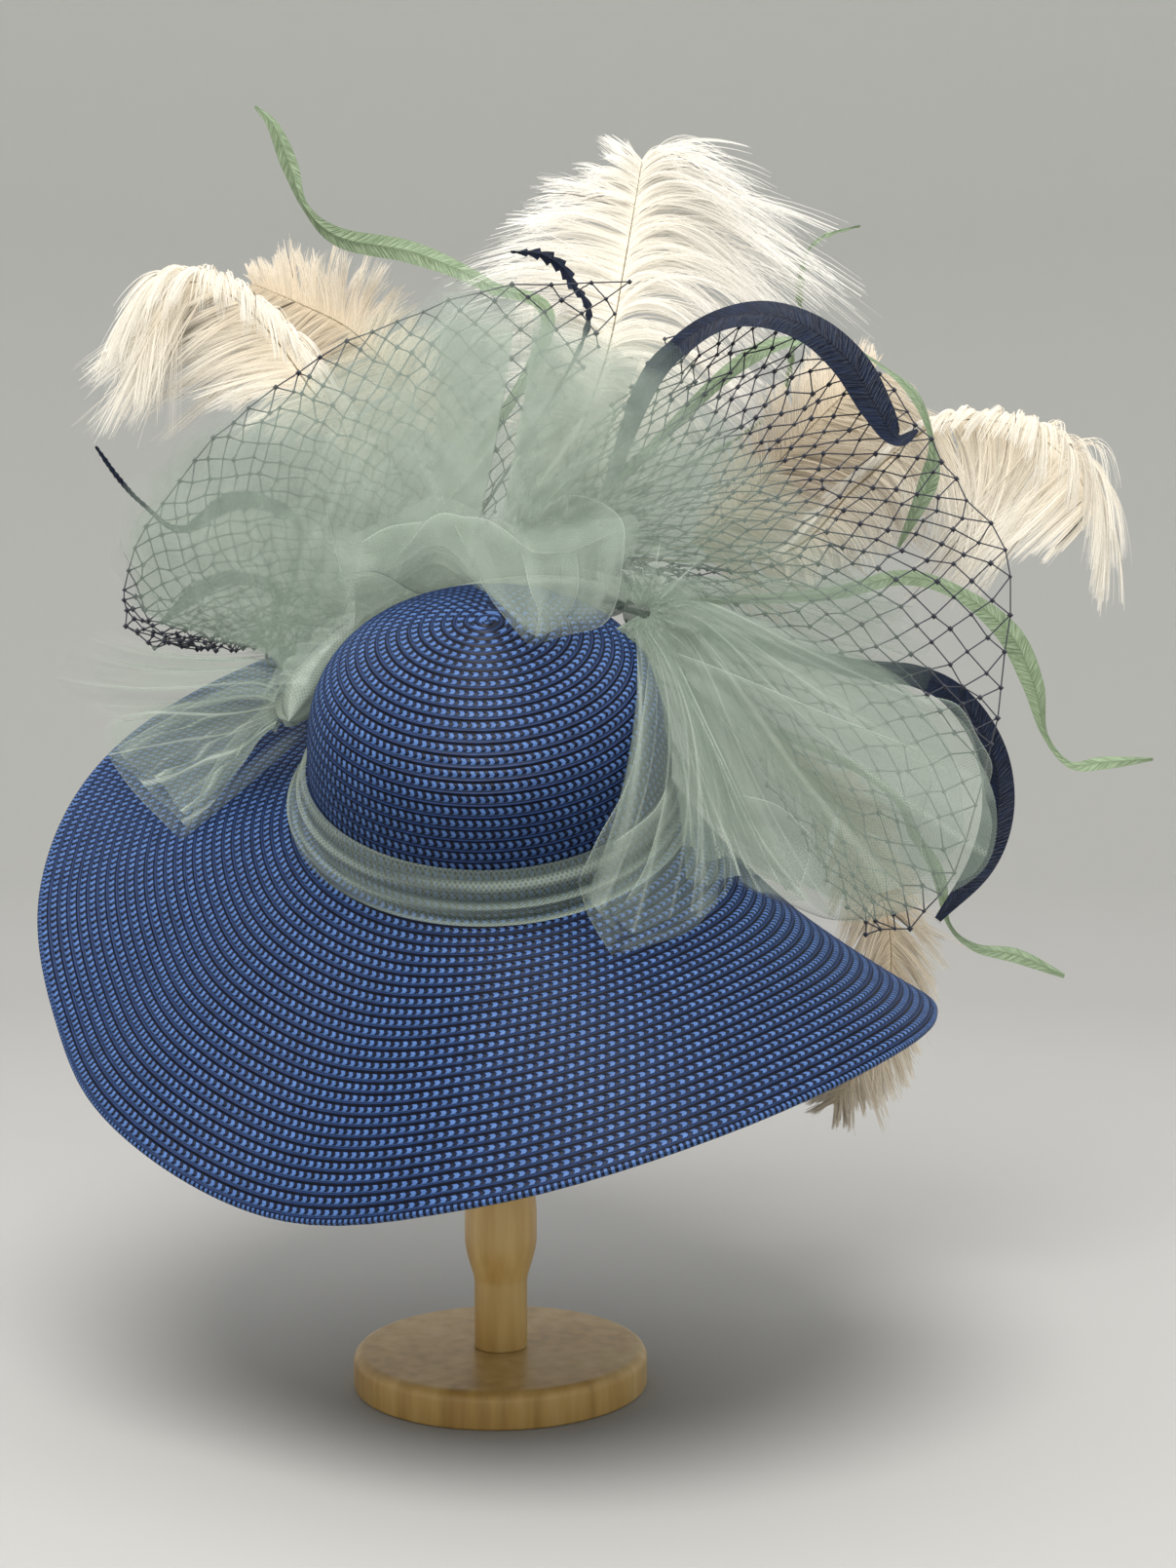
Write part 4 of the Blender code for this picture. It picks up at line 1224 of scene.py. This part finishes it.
def add_gather():
    """The gathered roll behind the crown, in fine lengthwise folds."""
    rng = np.random.default_rng(8)
    steps = 70
    sides = 48
    degrees = np.linspace(ROLL_START, ROLL_END, steps + 1)
    lifts = np.linspace(0, 360, sides + 1)
    folds = smooth_noise(rng, (steps + 1, sides + 1), (5, 14), 1.8)
    folds[:, -1] = folds[:, 0]
    ends = np.clip(np.minimum(np.arange(steps + 1), steps - np.arange(steps + 1)) / 4, 0, 1)
    radius = (roll_radius(lifts)[None, :] + folds) * np.sqrt(ends)[:, None]
    points = [[roll_slot(d, l, r) for l, r in zip(lifts, line)] for d, line in zip(degrees, radius)]
    density = 2.2 + np.abs(np.gradient(folds, axis=1)) * 3
    cloth = together(degrees[:, None] * 1.8, lifts * 0.18, density)
    faces = grid_faces(steps + 1, sides + 1)[:, ::-1]
    values = {"cloth": cloth, "fold": fold_and_shade_values(folds, 1, 0.3, 0.45)}
    new_piece("gather_tulle", points, faces, TULLE_FULL, ("tulle_gather",), values)


def add_knot():
    """A tied ball of tulle with folds that run from pole to pole."""
    rng = np.random.default_rng(9)
    rows = 24
    sides = 48
    turn = np.linspace(0.02, math.pi - 0.02, rows)[:, None]
    angle = np.linspace(0, 2 * math.pi, sides + 1)[None, :]
    folds = smooth_noise(rng, (rows, sides + 1), (3, 11), 1.2)
    folds[:, -1] = folds[:, 0]
    radius = KNOT_RADIUS - 2.5 + folds * np.sin(turn)
    ball = together(np.sin(turn) * np.cos(angle), np.cos(turn), np.sin(turn) * np.sin(angle))
    points = knot_centre() + radius[..., None] * ball
    cloth = together(angle * 12, turn * 12, 3.5 + np.abs(np.gradient(folds, axis=1)) * 2)
    # A low tone: deep painted shade over the knot
    values = {"cloth": cloth, "fold": fold_and_shade_values(folds, 1, 0.2, 0.1)}
    faces = grid_faces(rows, sides + 1)
    new_piece("knot_tulle", points, faces, TULLE_SOFT, ("tulle_knot",), values)


def add_clouds():
    """The two ruffled fans behind the crown, and what joins them."""
    # Tones set each sheet's painted shade from side to side; 0 is the deepest
    soft = {"finish": TULLE_SOFT, "fade": 0.3, "pleat": 0.16, "rag": 0.07, "lean": 0.9}
    reaches = (1.0, 0.97, 0.92, 0.84, 0.7)
    left = roll_lines(168, 97, 75, 34, CLOUD_LEFT)
    more = {**soft, "thick": (1.2, 2.0), "shading_and_tone": (0.0, 0.45)}
    add_layers("cloud_left", "tulle_cloud_left", left, 4, 9.0, 20, reaches, **more)
    middle = roll_lines(108, 76, 70, 34, CLOUD_LEFT[-2:] + CLOUD_RIGHT[:3])
    more = {**soft, "thick": (1.6, 1.6), "shading_and_tone": (0.45, 0.45)}
    add_layers("cloud_middle", "tulle_cloud_left", middle, 2, 7.0, 26, (0.97, 0.9), **more)
    right = roll_lines(90, 50, 75, 34, CLOUD_RIGHT)
    more = {**soft, "thick": (2.2, 0.5), "shading_and_tone": (0.4, 0.0)}
    add_layers("cloud_right", "tulle_cloud_right", right, 4, 9.0, 30, reaches, **more)
    low = knot_lines((0.6, 0.15, 0.8), (0.85, -0.05, 0.3), 24, CLOUD_LOW)
    more = {**soft, "thick": (1.1, 1.1), "shading_and_tone": (0.05, 0.05)}
    add_layers("cloud_low", "tulle_cloud_right", low, 3, 6.0, 36, (1.0, 0.9, 0.75), **more)


def collar_lines(first, last, swell):
    """Lines of a puffed loop of tulle that goes over the roll and leans on the crown."""
    degrees = np.linspace(first, last, 12)
    # columns: lift round the roll, distance off its middle line
    lifts = ((-50, ROLL_RADIUS + 2), (-10, swell + 4), (70, swell + 12), (118, swell))
    return [roll_slot(degrees, lift, distance + 0 * degrees) for lift, distance in lifts]


def add_collars():
    more = {"thick": (1.5, 1.5), "pleat": 0.4, "shading_and_tone": (0.5, 0.5)}
    for number, swell in enumerate((13.0, 19.0)):
        lines = collar_lines(174, 62, swell)
        add_sheet(f"collar_{number}", "tulle_gather", lines, 16, 3.5, 46 + number, **more)


def fan_lines():
    return knot_lines((0.85, -0.05, 0.35), (0.66, -0.35, -0.66), 24, FAN_RIGHT)


def add_fan():
    """The large pleated fan to the lower right of the knot, and the short folds below it."""
    # Painted shade, deeper towards the last side and on the low folds
    more = {"thick": (1.8, 1.7), "shading_and_tone": (0.28, 0.14), "pleat": 0.3}
    add_layers("fan_right", "tulle_fan_right", fan_lines(), 2, 4.5, 41, (1.0, 0.96, 0.88), **more)
    low = knot_lines((0.66, -0.35, -0.66), (-0.05, -0.8, -0.6), 20, FAN_LOW)
    more = {"thick": (2.0, 1.1), "shading_and_tone": (0.1, 0.05), "pleat": 0.6}
    add_layers("fan_low", "tulle_fan_right", low, 3, 5.0, 56, (1.0, 0.92, 0.8), **more)


def add_rosettes():
    """Short pleats that spread from the knot and hide it."""
    turns = np.radians(np.linspace(140, -150, 16))[:, None]
    around = np.cos(turns) * RIGHT + np.sin(turns) * UP
    # Deep painted shade over the rosettes round the knot
    more = {"thick": (2.4, 2.4), "fade": 0.6, "shading_and_tone": (0.1, 0.1), "rag": 0.15, "finish": TULLE_SOFT}
    for number, reach in enumerate((34.0, 27.0, 20.0)):
        # columns: distance round the knot, and in front of it
        lines = ((3, 13), (0.35 * reach, 19), (0.75 * reach, 17), (reach, 8))
        lines = [knot_centre() + out * around - front * WORLD_BACK for out, front in lines]
        add_sheet(f"rosette_{number}", "tulle_knot", lines, 9, 2.5, 76 + number, **more)


def pouf_lines():
    return roll_lines(140, 52, 112, 26, POUF)


def tail_left_lines():
    return roll_lines(174, 156, -36, 22, TAIL_LEFT)


def tail_front_lines():
    centre = knot_centre()
    part = np.linspace(0, 1, 5)[:, None]
    first_aim = np.array([-0.45, -0.80, -0.30])
    last_aim = np.array([0.25, -0.85, -0.45])
    aims = unit(first_aim * (1 - part) + last_aim * part)
    rows = np.array(TAIL_FRONT, float)
    return centre + aims * (KNOT_RADIUS + KNOT_GAP), rows[:, 0:3], rows[:, 3:6], rows[:, 6:9]


def add_pouf():
    more = {"thick": (1.0, 1.0), "shading_and_tone": (0.22, 0.22), "pleat": 0.25}
    add_layers("pouf", "tulle_pouf", pouf_lines(), 2, 3.5, 51, (1.0, 0.94, 0.85, 0.75), **more)


def add_tails():
    """The tails over the brim at the left and the front, and the faint wing at the far left."""
    more = {"thick": (1.2, 1.2), "pleat": 0.9}
    add_layers("tail_left", "tulle_tail_left", tail_left_lines(), 3, 5.0, 61, (1.0, 0.95), **more)
    wing = roll_lines(173, 155, 35, 22, WING_LEFT)
    add_layers("wing_left", "tulle_wing_left", wing, 3, 6.0, 65, (1.0, 0.85), fade=0.5, pleat=0.4)
    more = {"thick": (0.6, 0.6), "pleat": 0.7, "shading_and_tone": (0.2, 0.2)}
    add_layers("tail_front", "tulle_tail_front", tail_front_lines(), 2, 5.0, 71, (1.0, 0.96), **more)


def add_creases():
    """The folded edges that the photo shows, a little in front of their sheets."""
    add_folds("pouf_folds", "tulle_pouf", placed_folds(FOLDS_POUF, pouf_lines(), 5))
    add_folds("fan_folds", "tulle_fan_right", placed_folds(FOLDS_FAN, fan_lines(), 6))
    add_folds("tail_front_folds", "tulle_tail_front", placed_folds(FOLDS_FRONT, tail_front_lines(), 4), 0.8)
    add_folds("tail_left_folds", "tulle_tail_left", placed_folds(FOLDS_LEFT, tail_left_lines(), 3), 0.8)


# Each sheet's tone is its painted shade: the lower it is, the deeper the shade
def add_tulle():
    add_gather()
    add_knot()
    add_band()
    add_clouds()
    add_collars()
    add_fan()
    add_rosettes()
    add_pouf()
    add_tails()
    add_creases()


# Netting

# An eight-sided knot. Rows: its six points, and its faces
KNOT_POINTS = ((1, 0, 0), (0, 1, 0), (-1, 0, 0), (0, -1, 0), (0, 0, 1), (0, 0, -1))
KNOT_FACES = ((0, 1, 4), (1, 2, 4), (2, 3, 4), (3, 0, 4), (1, 0, 5), (2, 1, 5), (3, 2, 5), (0, 3, 5))


def add_net(name, node, lines, columns, rows, seed):
    """Diamond netting with a knot at each crossing past the first quarter of its rows."""
    rng = np.random.default_rng(seed)
    grid = smooth_sheet(lines, columns, rows)
    grid = grid + grid_normals(grid) * smooth_noise(rng, grid.shape[:2], (4, 9), 5.0)[..., None]
    grid[1:] += rng.normal(0, 1.2, grid[1:].shape)
    row, column = np.meshgrid(np.arange(rows + 1), np.arange(columns + 1), indexing="ij")
    tied = (row + column) % 2 == 0
    starts = []
    ends = []
    for turn in (1, -1):
        ok = tied & (row < rows) & (column + turn >= 0) & (column + turn <= columns)
        starts.append(grid[row[ok], column[ok]])
        ends.append(grid[row[ok] + 1, column[ok] + turn])
    rim = grid[rows, rows % 2 :: 2]
    starts.append(rim[:-1])
    ends.append(rim[1:])
    points, faces = rods(np.concatenate(starts), np.concatenate(ends), NET_THREAD)
    new_piece(name + "_threads", points, faces, NET, (node,))
    centres = grid[tied & (row > rows // 4)]
    size = rng.uniform(0.8, 1.25, (len(centres), 1, 1))
    points = centres[:, None] + np.array(KNOT_POINTS) * NET_KNOT * size
    base = np.arange(len(centres))[:, None, None] * len(KNOT_POINTS)
    faces = (base + np.array(KNOT_FACES)).reshape(-1, 3)
    new_piece(name + "_knots", points, faces, NET, (node,))


def add_veils():
    add_net("net_left", "veil_left", roll_lines(149, 100, 35, 20, VEIL_LEFT), 58, 30, 81)
    add_net("net_right", "veil_right", roll_lines(92, 46, 35, 20, VEIL_RIGHT), 74, 32, 82)


# Plumes. Rows run along the shaft: x, y, z and the length of the barbs to each side,
# first to the right of its way as the camera sees it, then to the left.
PLUME_TOP = (
    (24, 118, 452, 20, 30),
    (42, 150, 500, 42, 56),
    (56, 170, 545, 72, 76),
    (64, 174, 588, 90, 80),
    (70, 170, 622, 90, 62),
    (74, 162, 646, 80, 32),
)
PLUME_LEFT = (
    (-90, 134, 476, 14, 8),
    (-116, 158, 520, 22, 44),
    (-143, 170, 556, 26, 62),
    (-168, 164, 576, 28, 66),
    (-190, 152, 575, 27, 58),
    (-206, 144, 564, 20, 44),
)
PLUME_LEFT_BACK = (
    (-40, 152, 486, 16, 24),
    (-62, 180, 522, 44, 40),
    (-94, 192, 556, 52, 44),
    (-128, 196, 574, 44, 40),
    (-152, 196, 584, 30, 34),
)
PLUME_RIGHT = (
    (150, 140, 422, 16, 8),
    (196, 158, 462, 44, 12),
    (238, 166, 496, 60, 14),
    (272, 168, 501, 64, 20),
    (300, 166, 492, 66, 36),
    (320, 158, 472, 56, 40),
    (328, 148, 446, 36, 26),
)
PLUME_INNER = (
    (104, 158, 430, 26, 20),
    (138, 176, 462, 40, 32),
    (166, 182, 492, 44, 36),
    (190, 184, 516, 34, 30),
    (208, 182, 530, 18, 20),
)
PLUME_LOWER = (
    (134, 90, 322, 10, 8),
    (180, 120, 286, 28, 26),
    (208, 134, 232, 34, 32),
    (214, 138, 186, 34, 30),
    (202, 136, 144, 30, 26),
    (182, 134, 114, 22, 20),
)

BARB_STIFFNESS = 0.8
PLUME_LOCKS = 60
PLUME_LIT = np.array([0.0, -0.8, 0.45])


class Plume:
    """An ostrich plume: a shaft, and barbs that leave both its sides and fall.

    Each side gives how far its barbs lean along the shaft, and how they fall in x, y, z.
    """

    def __init__(self, root, rows, right, left, stiffness=BARB_STIFFNESS, size=(1, 1)):
        start, lead = stem_start(*root, rows[0])
        self.rows = np.array([[*start, 0, 0], [*lead, 0, 0], *rows], float) * (1, 1, 1, *size)
        self.stiffness = stiffness
        self.lean = np.array([right[0], left[0]])
        self.fall = np.array([right[1:], left[1:]], float)
        self.bare = 2 / (len(self.rows) - 1)

    def shaft(self, places):
        return along(self.rows[:, :3], places)

    def barbs(self, places, side, stray, part):
        """Points along barbs that leave the shaft at places, to side 0 or side 1."""
        step = 0.01
        near = np.clip(places, 0.01, 0.985)
        forward = unit(self.shaft(near + step) - self.shaft(near - step))
        across = unit(np.cross(forward, WORLD_BACK))
        tip = np.clip((places - 0.75) / 0.25, 0, 1) ** 2
        length = along(self.rows[:, 3:5], places)[np.arange(len(places)), side] * (1 - 0.45 * tip)
        aim = unit((2 * side - 1)[:, None] * across + (self.lean[side] + 0.6 * tip)[:, None] * forward)
        fall = self.fall[side]
        against = np.maximum(0.0, -(aim * unit(fall)).sum(-1))
        bend = fall * (1 - self.stiffness * against)[:, None] + stray[:, 3:6]
        path = (aim + stray[:, :3])[:, None] * part + bend[:, None] * part**2
        return self.shaft(places)[:, None] + (length * (1 + stray[:, 6]))[:, None, None] * path


def plume_barbs(plume, count, rng, steps=11):
    """Curved barbs on both sides of the shaft, drawn together into locks at their tips."""
    part = np.linspace(0, 1, steps)[None, :, None]
    side = np.arange(count) % 2
    share = rng.uniform(0, 1, count)
    lock = (share * PLUME_LOCKS).astype(int) + side * PLUME_LOCKS
    spread = np.array([0.09, 0.09, 0.09, 0.10, 0.16, 0.10, 0.10])
    stray = rng.normal(0, 1, (2 * PLUME_LOCKS, 7)) * spread
    middle = (np.arange(2 * PLUME_LOCKS) % PLUME_LOCKS + 0.5) / PLUME_LOCKS
    places = plume.bare + (1 - plume.bare) * share
    guide_places = plume.bare + (1 - plume.bare) * middle
    guides = plume.barbs(guide_places, np.repeat([0, 1], PLUME_LOCKS), stray, part)
    own = plume.barbs(places, side, stray[lock] + 0.55 * spread * rng.normal(0, 1, (count, 7)), part)
    drawn = rng.uniform(0.2, 0.85, count)[:, None, None] * part**1.3
    return own * (1 - drawn) + guides[lock] * drawn, part[..., 0]


def add_barbs(name, node, plume, count, half, seed, finish):
    """Ribbons along barbs, lit as a soft body would be."""
    rng = np.random.default_rng(seed)
    centres, part = plume_barbs(plume, count, rng)
    forward = unit(np.gradient(centres, axis=1))
    toward = -WORLD_BACK + rng.normal(0, 0.45, (count, 1, 3))
    side = unit(np.cross(forward, toward))
    width = half * rng.uniform(0.7, 1.3, (count, 1)) * (1 - 0.8 * part**2)
    points, faces = ribbons(centres, side, width)
    values = together(part, rng.uniform(0, 1, (count, 1)), -1.0 + 0 * width)
    values = np.stack([values, values + (0, 0, 2)], 2)
    outward = 0.5 * unit(centres - centres[:, :1])
    lift = PLUME_LIT + outward + rng.normal(0, 0.15, (count, 1, 3))
    normals = np.repeat(unit(lift), 2, axis=1)
    new_piece(name, points, faces, finish, (node,), {"barb": values}, normals)


def add_plume(name, plume, seed, finish):
    node = "plume_" + name
    add_barbs(name + "_barbs", node, plume, 1100, 0.9, seed, finish)
    add_barbs(name + "_down", node, plume, 1500, 0.45, seed + 20, finish)
    line = plume.shaft(np.linspace(0, 1, 60))
    points, faces = rods(line[:-1], line[1:], np.linspace(0.8, 0.25, 59), 6)
    new_piece(name + "_shaft", points, faces, SHAFT, (node,))


def add_plumes():
    # columns of a side: lean along the shaft, fall x, y, z
    top = Plume((94, 0), PLUME_TOP, (1.3, 0.5, 0, -1.5), (0.25, 0.07, 0, -0.68))
    add_plume("top", top, 91, CREAM)
    left = Plume((142, -24), PLUME_LEFT, (0.5, 0.1, -0.6, -2.2), (0.7, -0.1, 0, -0.35), 0.45, (1.4, 1))
    add_plume("left", left, 92, WARM)
    back = Plume((128, -6), PLUME_LEFT_BACK, (0.5, 0.2, 0, -0.6), (0.6, 0, 0, -0.3), 0.8, (0.75, 1))
    add_plume("left_back", back, 93, PEACH_SHADED)
    right = Plume((67, 0), PLUME_RIGHT, (0.25, -0.45, 0, -0.3), (0.1, -0.9, -0.8, -1.9), 0.35, (1, 1.2))
    add_plume("right", right, 94, WARM)
    inner = Plume((74, 0), PLUME_INNER, (0.8, 0, 0, -0.4), (0.8, 0, 0, -0.2), size=(1.7, 1))
    add_plume("inner", inner, 95, PEACH_SHADED)
    lower = Plume((53, -60), PLUME_LOWER, (0.9, 0, 0, -0.3), (0.9, 0, 0, -0.3))
    add_plume("lower", lower, 96, PEACH_SHADED)


# Quills. Rows: x, y, z, width and twist in degrees.
QUILL_GREEN_1 = (
    (20, 140, 545, 8, 0),
    (-14, 158, 576, 9, 0),
    (-56, 168, 596, 13, 20),
    (-98, 170, 605, 11, 40),
    (-118, 170, 622, 5, 45),
    (-127, 170, 646, 10, 20),
    (-136, 168, 668, 7, 0),
    (-146, 168, 679, 2, 0),
)
QUILL_GREEN_2 = (
    (140, 190, 500, 5, 0),
    (165, 200, 552, 5, 0),
    (168, 200, 586, 6, 10),
    (171, 200, 602, 3, 40),
    (182, 200, 613, 6, 20),
    (203, 200, 619, 2, 0),
)
QUILL_GREEN_3 = (
    (104, 146, 508, 8, 0),
    (138, 148, 536, 11, 0),
    (162, 148, 543, 9, 20),
    (186, 148, 541, 5, 40),
    (206, 146, 530, 6, 40),
    (226, 142, 512, 8, 20),
    (236, 140, 486, 6, 40),
    (234, 140, 462, 11, 10),
    (217, 138, 426, 2, 0),
)
QUILL_GREEN_4 = (
    (168, 112, 398, 8, 0),
    (218, 132, 409, 10, 0),
    (250, 130, 400, 11, 10),
    (277, 128, 378, 15, 0),
    (291, 128, 350, 14, 10),
    (298, 128, 322, 8, 40),
    (312, 128, 305, 8, 30),
    (331, 128, 306, 9, 10),
    (358, 128, 308, 2, 0),
)
QUILL_GREEN_5 = (
    (196, 100, 300, 6, 0),
    (228, 140, 264, 7, 0),
    (243, 150, 241, 8, 0),
    (249, 150, 214, 5, 40),
    (263, 146, 201, 8, 30),
    (287, 144, 196, 10, 10),
    (313, 142, 185, 3, 0),
)
QUILL_NAVY_1 = (
    (74, 102, 508, 12, 0),
    (95, 105, 534, 15, 10),
    (117, 105, 547, 17, 10),
    (141, 104, 549, 19, 0),
    (166, 104, 540, 21, 0),
    (186, 104, 522, 22, 0),
    (200, 104, 499, 19, 0),
    (211, 104, 482, 13, 20),
    (222, 104, 487, 4, 30),
)
QUILL_NAVY_2 = (
    (180, 108, 360, 12, 0),
    (226, 128, 354, 15, 0),
    (252, 136, 340, 17, 0),
    (270, 138, 312, 18, 0),
    (274, 138, 279, 18, 0),
    (264, 136, 248, 15, 0),
    (239, 130, 218, 4, 0),
)
QUILL_NAVY_3 = (
    (-116, 126, 436, 5, 0),
    (-152, 136, 452, 14, 20),
    (-184, 138, 436, 5, 40),
    (-205, 136, 450, 3, 20),
    (-218, 132, 464, 4, 45),
    (-229, 128, 481, 2, 0),
)
QUILL_NAVY_4 = (
    (-126, 108, 400, 5, 0),
    (-152, 116, 408, 10, 10),
    (-172, 120, 400, 12, 20),
    (-192, 122, 384, 3, 0),
)
QUILL_NAVY_5 = (
    (40, 140, 540, 4, 0),
    (34, 150, 576, 8, 0),
    (20, 150, 590, 9, 30),
    (0, 150, 593, 2, 0),
)

# Section of a quill. Columns: share across from -1 to 1, height in millimetres
QUILL_PROFILE = (
    (-1.0, 0.5),
    (-0.5, 0.15),
    (-0.12, -0.15),
    (0.0, -0.55),
    (0.12, -0.15),
    (0.5, 0.15),
    (1.0, 0.5),
)


def add_quill(name, rows, finish, slot, root, notch=0.0, tooth=3.5):
    """A curled quill with a raised vein and edges cut in teeth."""
    start, lead = stem_start(*root, rows[0])
    first = [*start, rows[0][3] * 0.2, rows[0][4]]
    second = [*lead, rows[0][3] * 0.35, rows[0][4]]
    steps = 26 * len(rows)
    path = along([first, second, *rows], np.linspace(0, 1, steps + 1))
    centre = path[:, :3]
    forward = unit(np.gradient(centre, axis=0))
    flat = unit(np.cross(forward, QUILL_FACING))
    raised = np.cross(flat, forward)
    twist = np.radians(path[:, 4])[:, None]
    edge = flat * np.cos(twist) + raised * np.sin(twist)
    face = np.cross(edge, forward)
    run = np.concatenate([[0], np.cumsum(np.linalg.norm(np.diff(centre, axis=0), axis=1))])[:, None]
    half = np.maximum(path[:, 3:4], 1.0) / 2 * (1 - notch * (run / tooth % 1))
    across, relief = np.array(QUILL_PROFILE).T
    grid = centre[:, None] + edge[:, None] * (half * across)[..., None] + face[:, None] * relief[:, None]
    values = {"quill": together(run, across, 0.0)}
    faces = grid_faces(steps + 1, len(across))
    new_piece(name, grid, faces, finish, ("quill_" + name,), values)


def add_quills():
    green = (GREEN_QUILL, "green_quill")
    navy = (NAVY_QUILL, "navy_quill")
    add_quill("green_1", QUILL_GREEN_1, *green, (110, 0))
    add_quill("green_2", QUILL_GREEN_2, *green, (86.5, 0), 0.7, 9.0)
    add_quill("green_3", QUILL_GREEN_3, *green, (79, 0))
    add_quill("green_4", QUILL_GREEN_4, *green, (60, -30))
    add_quill("green_5", QUILL_GREEN_5, *green, (43, -72))
    add_quill("navy_1", QUILL_NAVY_1, *navy, (64, 50))
    add_quill("navy_2", QUILL_NAVY_2, *navy, (55, -34))
    add_quill("navy_3", QUILL_NAVY_3, *navy, (146, -2), 0.4)
    add_quill("navy_4", QUILL_NAVY_4, *navy, (153, 0), 0.4)
    add_quill("navy_5", QUILL_NAVY_5, *navy, (100, 0), 0.6, 7.0)


# Studio. The floor is flat to a radius, then bends up into the wall.
STUDIO_FLAT = 1500.0
STUDIO_BEND = 1150.0

# Key light, in metres: where it stands, what it aims at, its width, power and colour
KEY_PLACE = (-0.15, -1.35, 2.35)
KEY_TARGET = (0, 0, 0.35)
KEY_SIZE = 1.6
KEY_POWER = 62
KEY_COLOUR = (1, 0.985, 0.96)
AIR_COLOUR = (0.95, 0.97, 1.0, 1)
AIR_STRENGTH = 1.25


def add_stage():
    """A pale floor that curves up into a plain grey wall all round."""
    flat = np.linspace(0, STUDIO_FLAT, 12)[:, None] * (1, 0)
    turns = np.radians(np.linspace(3, 90, 30))[:, None]
    bend = (STUDIO_FLAT, 0) + STUDIO_BEND * np.concatenate([np.sin(turns), 1 - np.cos(turns)], 1)
    path = np.concatenate([flat, bend, bend[-1:] + (0, 1800)])
    angle = np.linspace(0, 2 * math.pi, 97)
    ring = np.stack([np.cos(angle), np.sin(angle), 0 * angle], -1)
    points = (path[:, :1, None] * ring + path[:, 1:, None] * UP).reshape(-1, 3) * MM
    mesh = bpy.data.meshes.new("studio")
    mesh.from_pydata(points.tolist(), [], grid_faces(len(path), 97).tolist())
    mesh.shade_smooth()
    finish = Finish("studio_paint", 0.9)
    place = finish.node("ShaderNodeTexCoord").outputs["Object"]
    split = finish.node("ShaderNodeSeparateXYZ", {0: place}).outputs
    stops = ((0.0, 0.50, 0.49, 0.47), (0.10, 0.45, 0.445, 0.42), (1.0, 0.46, 0.46, 0.435))
    finish.set("Base Color", finish.ramp(split[2], stops))
    mesh.materials.append(finish.made)
    studio = bpy.data.objects.new("studio", mesh)
    bpy.context.scene.collection.objects.link(studio)


def add_light():
    data = bpy.data.lights.new("key", "AREA")
    data.shape = "DISK"
    data.size = KEY_SIZE
    data.energy = KEY_POWER
    data.color = KEY_COLOUR
    light = bpy.data.objects.new("key", data)
    light.location = KEY_PLACE
    aim = Vector(KEY_TARGET) - Vector(KEY_PLACE)
    light.rotation_mode = "QUATERNION"
    light.rotation_quaternion = aim.to_track_quat("-Z", "Y")
    bpy.context.scene.collection.objects.link(light)


def add_camera():
    data = bpy.data.cameras.new("camera")
    data.lens = CAMERA_LENS
    data.sensor_width = CAMERA_SENSOR
    data.clip_end = 20
    camera = bpy.data.objects.new("camera", data)
    camera.location = CAMERA_PLACE * MM
    camera.rotation_euler = (math.pi / 2 - CAMERA_DOWN, 0, 0)
    bpy.context.scene.collection.objects.link(camera)
    bpy.context.scene.camera = camera


def add_studio():
    scene = bpy.context.scene
    world = bpy.data.worlds.new("studio_air")
    world.use_nodes = True
    world.node_tree.nodes["Background"].inputs["Color"].default_value = AIR_COLOUR
    world.node_tree.nodes["Background"].inputs["Strength"].default_value = AIR_STRENGTH
    scene.world = world
    add_light()
    scene.view_settings.view_transform = "Standard"
    scene.cycles.max_bounces = 5
    scene.cycles.diffuse_bounces = 2
    scene.cycles.transparent_max_bounces = 32


for leftover in list(bpy.data.objects):
    if leftover.name in ("Cube", "Light", "Camera"):
        bpy.data.objects.remove(leftover)

add_camera()
add_stage()
add_studio()
add_stand()
add_crown()
add_brim()
add_tulle()
add_veils()
add_plumes()
add_quills()
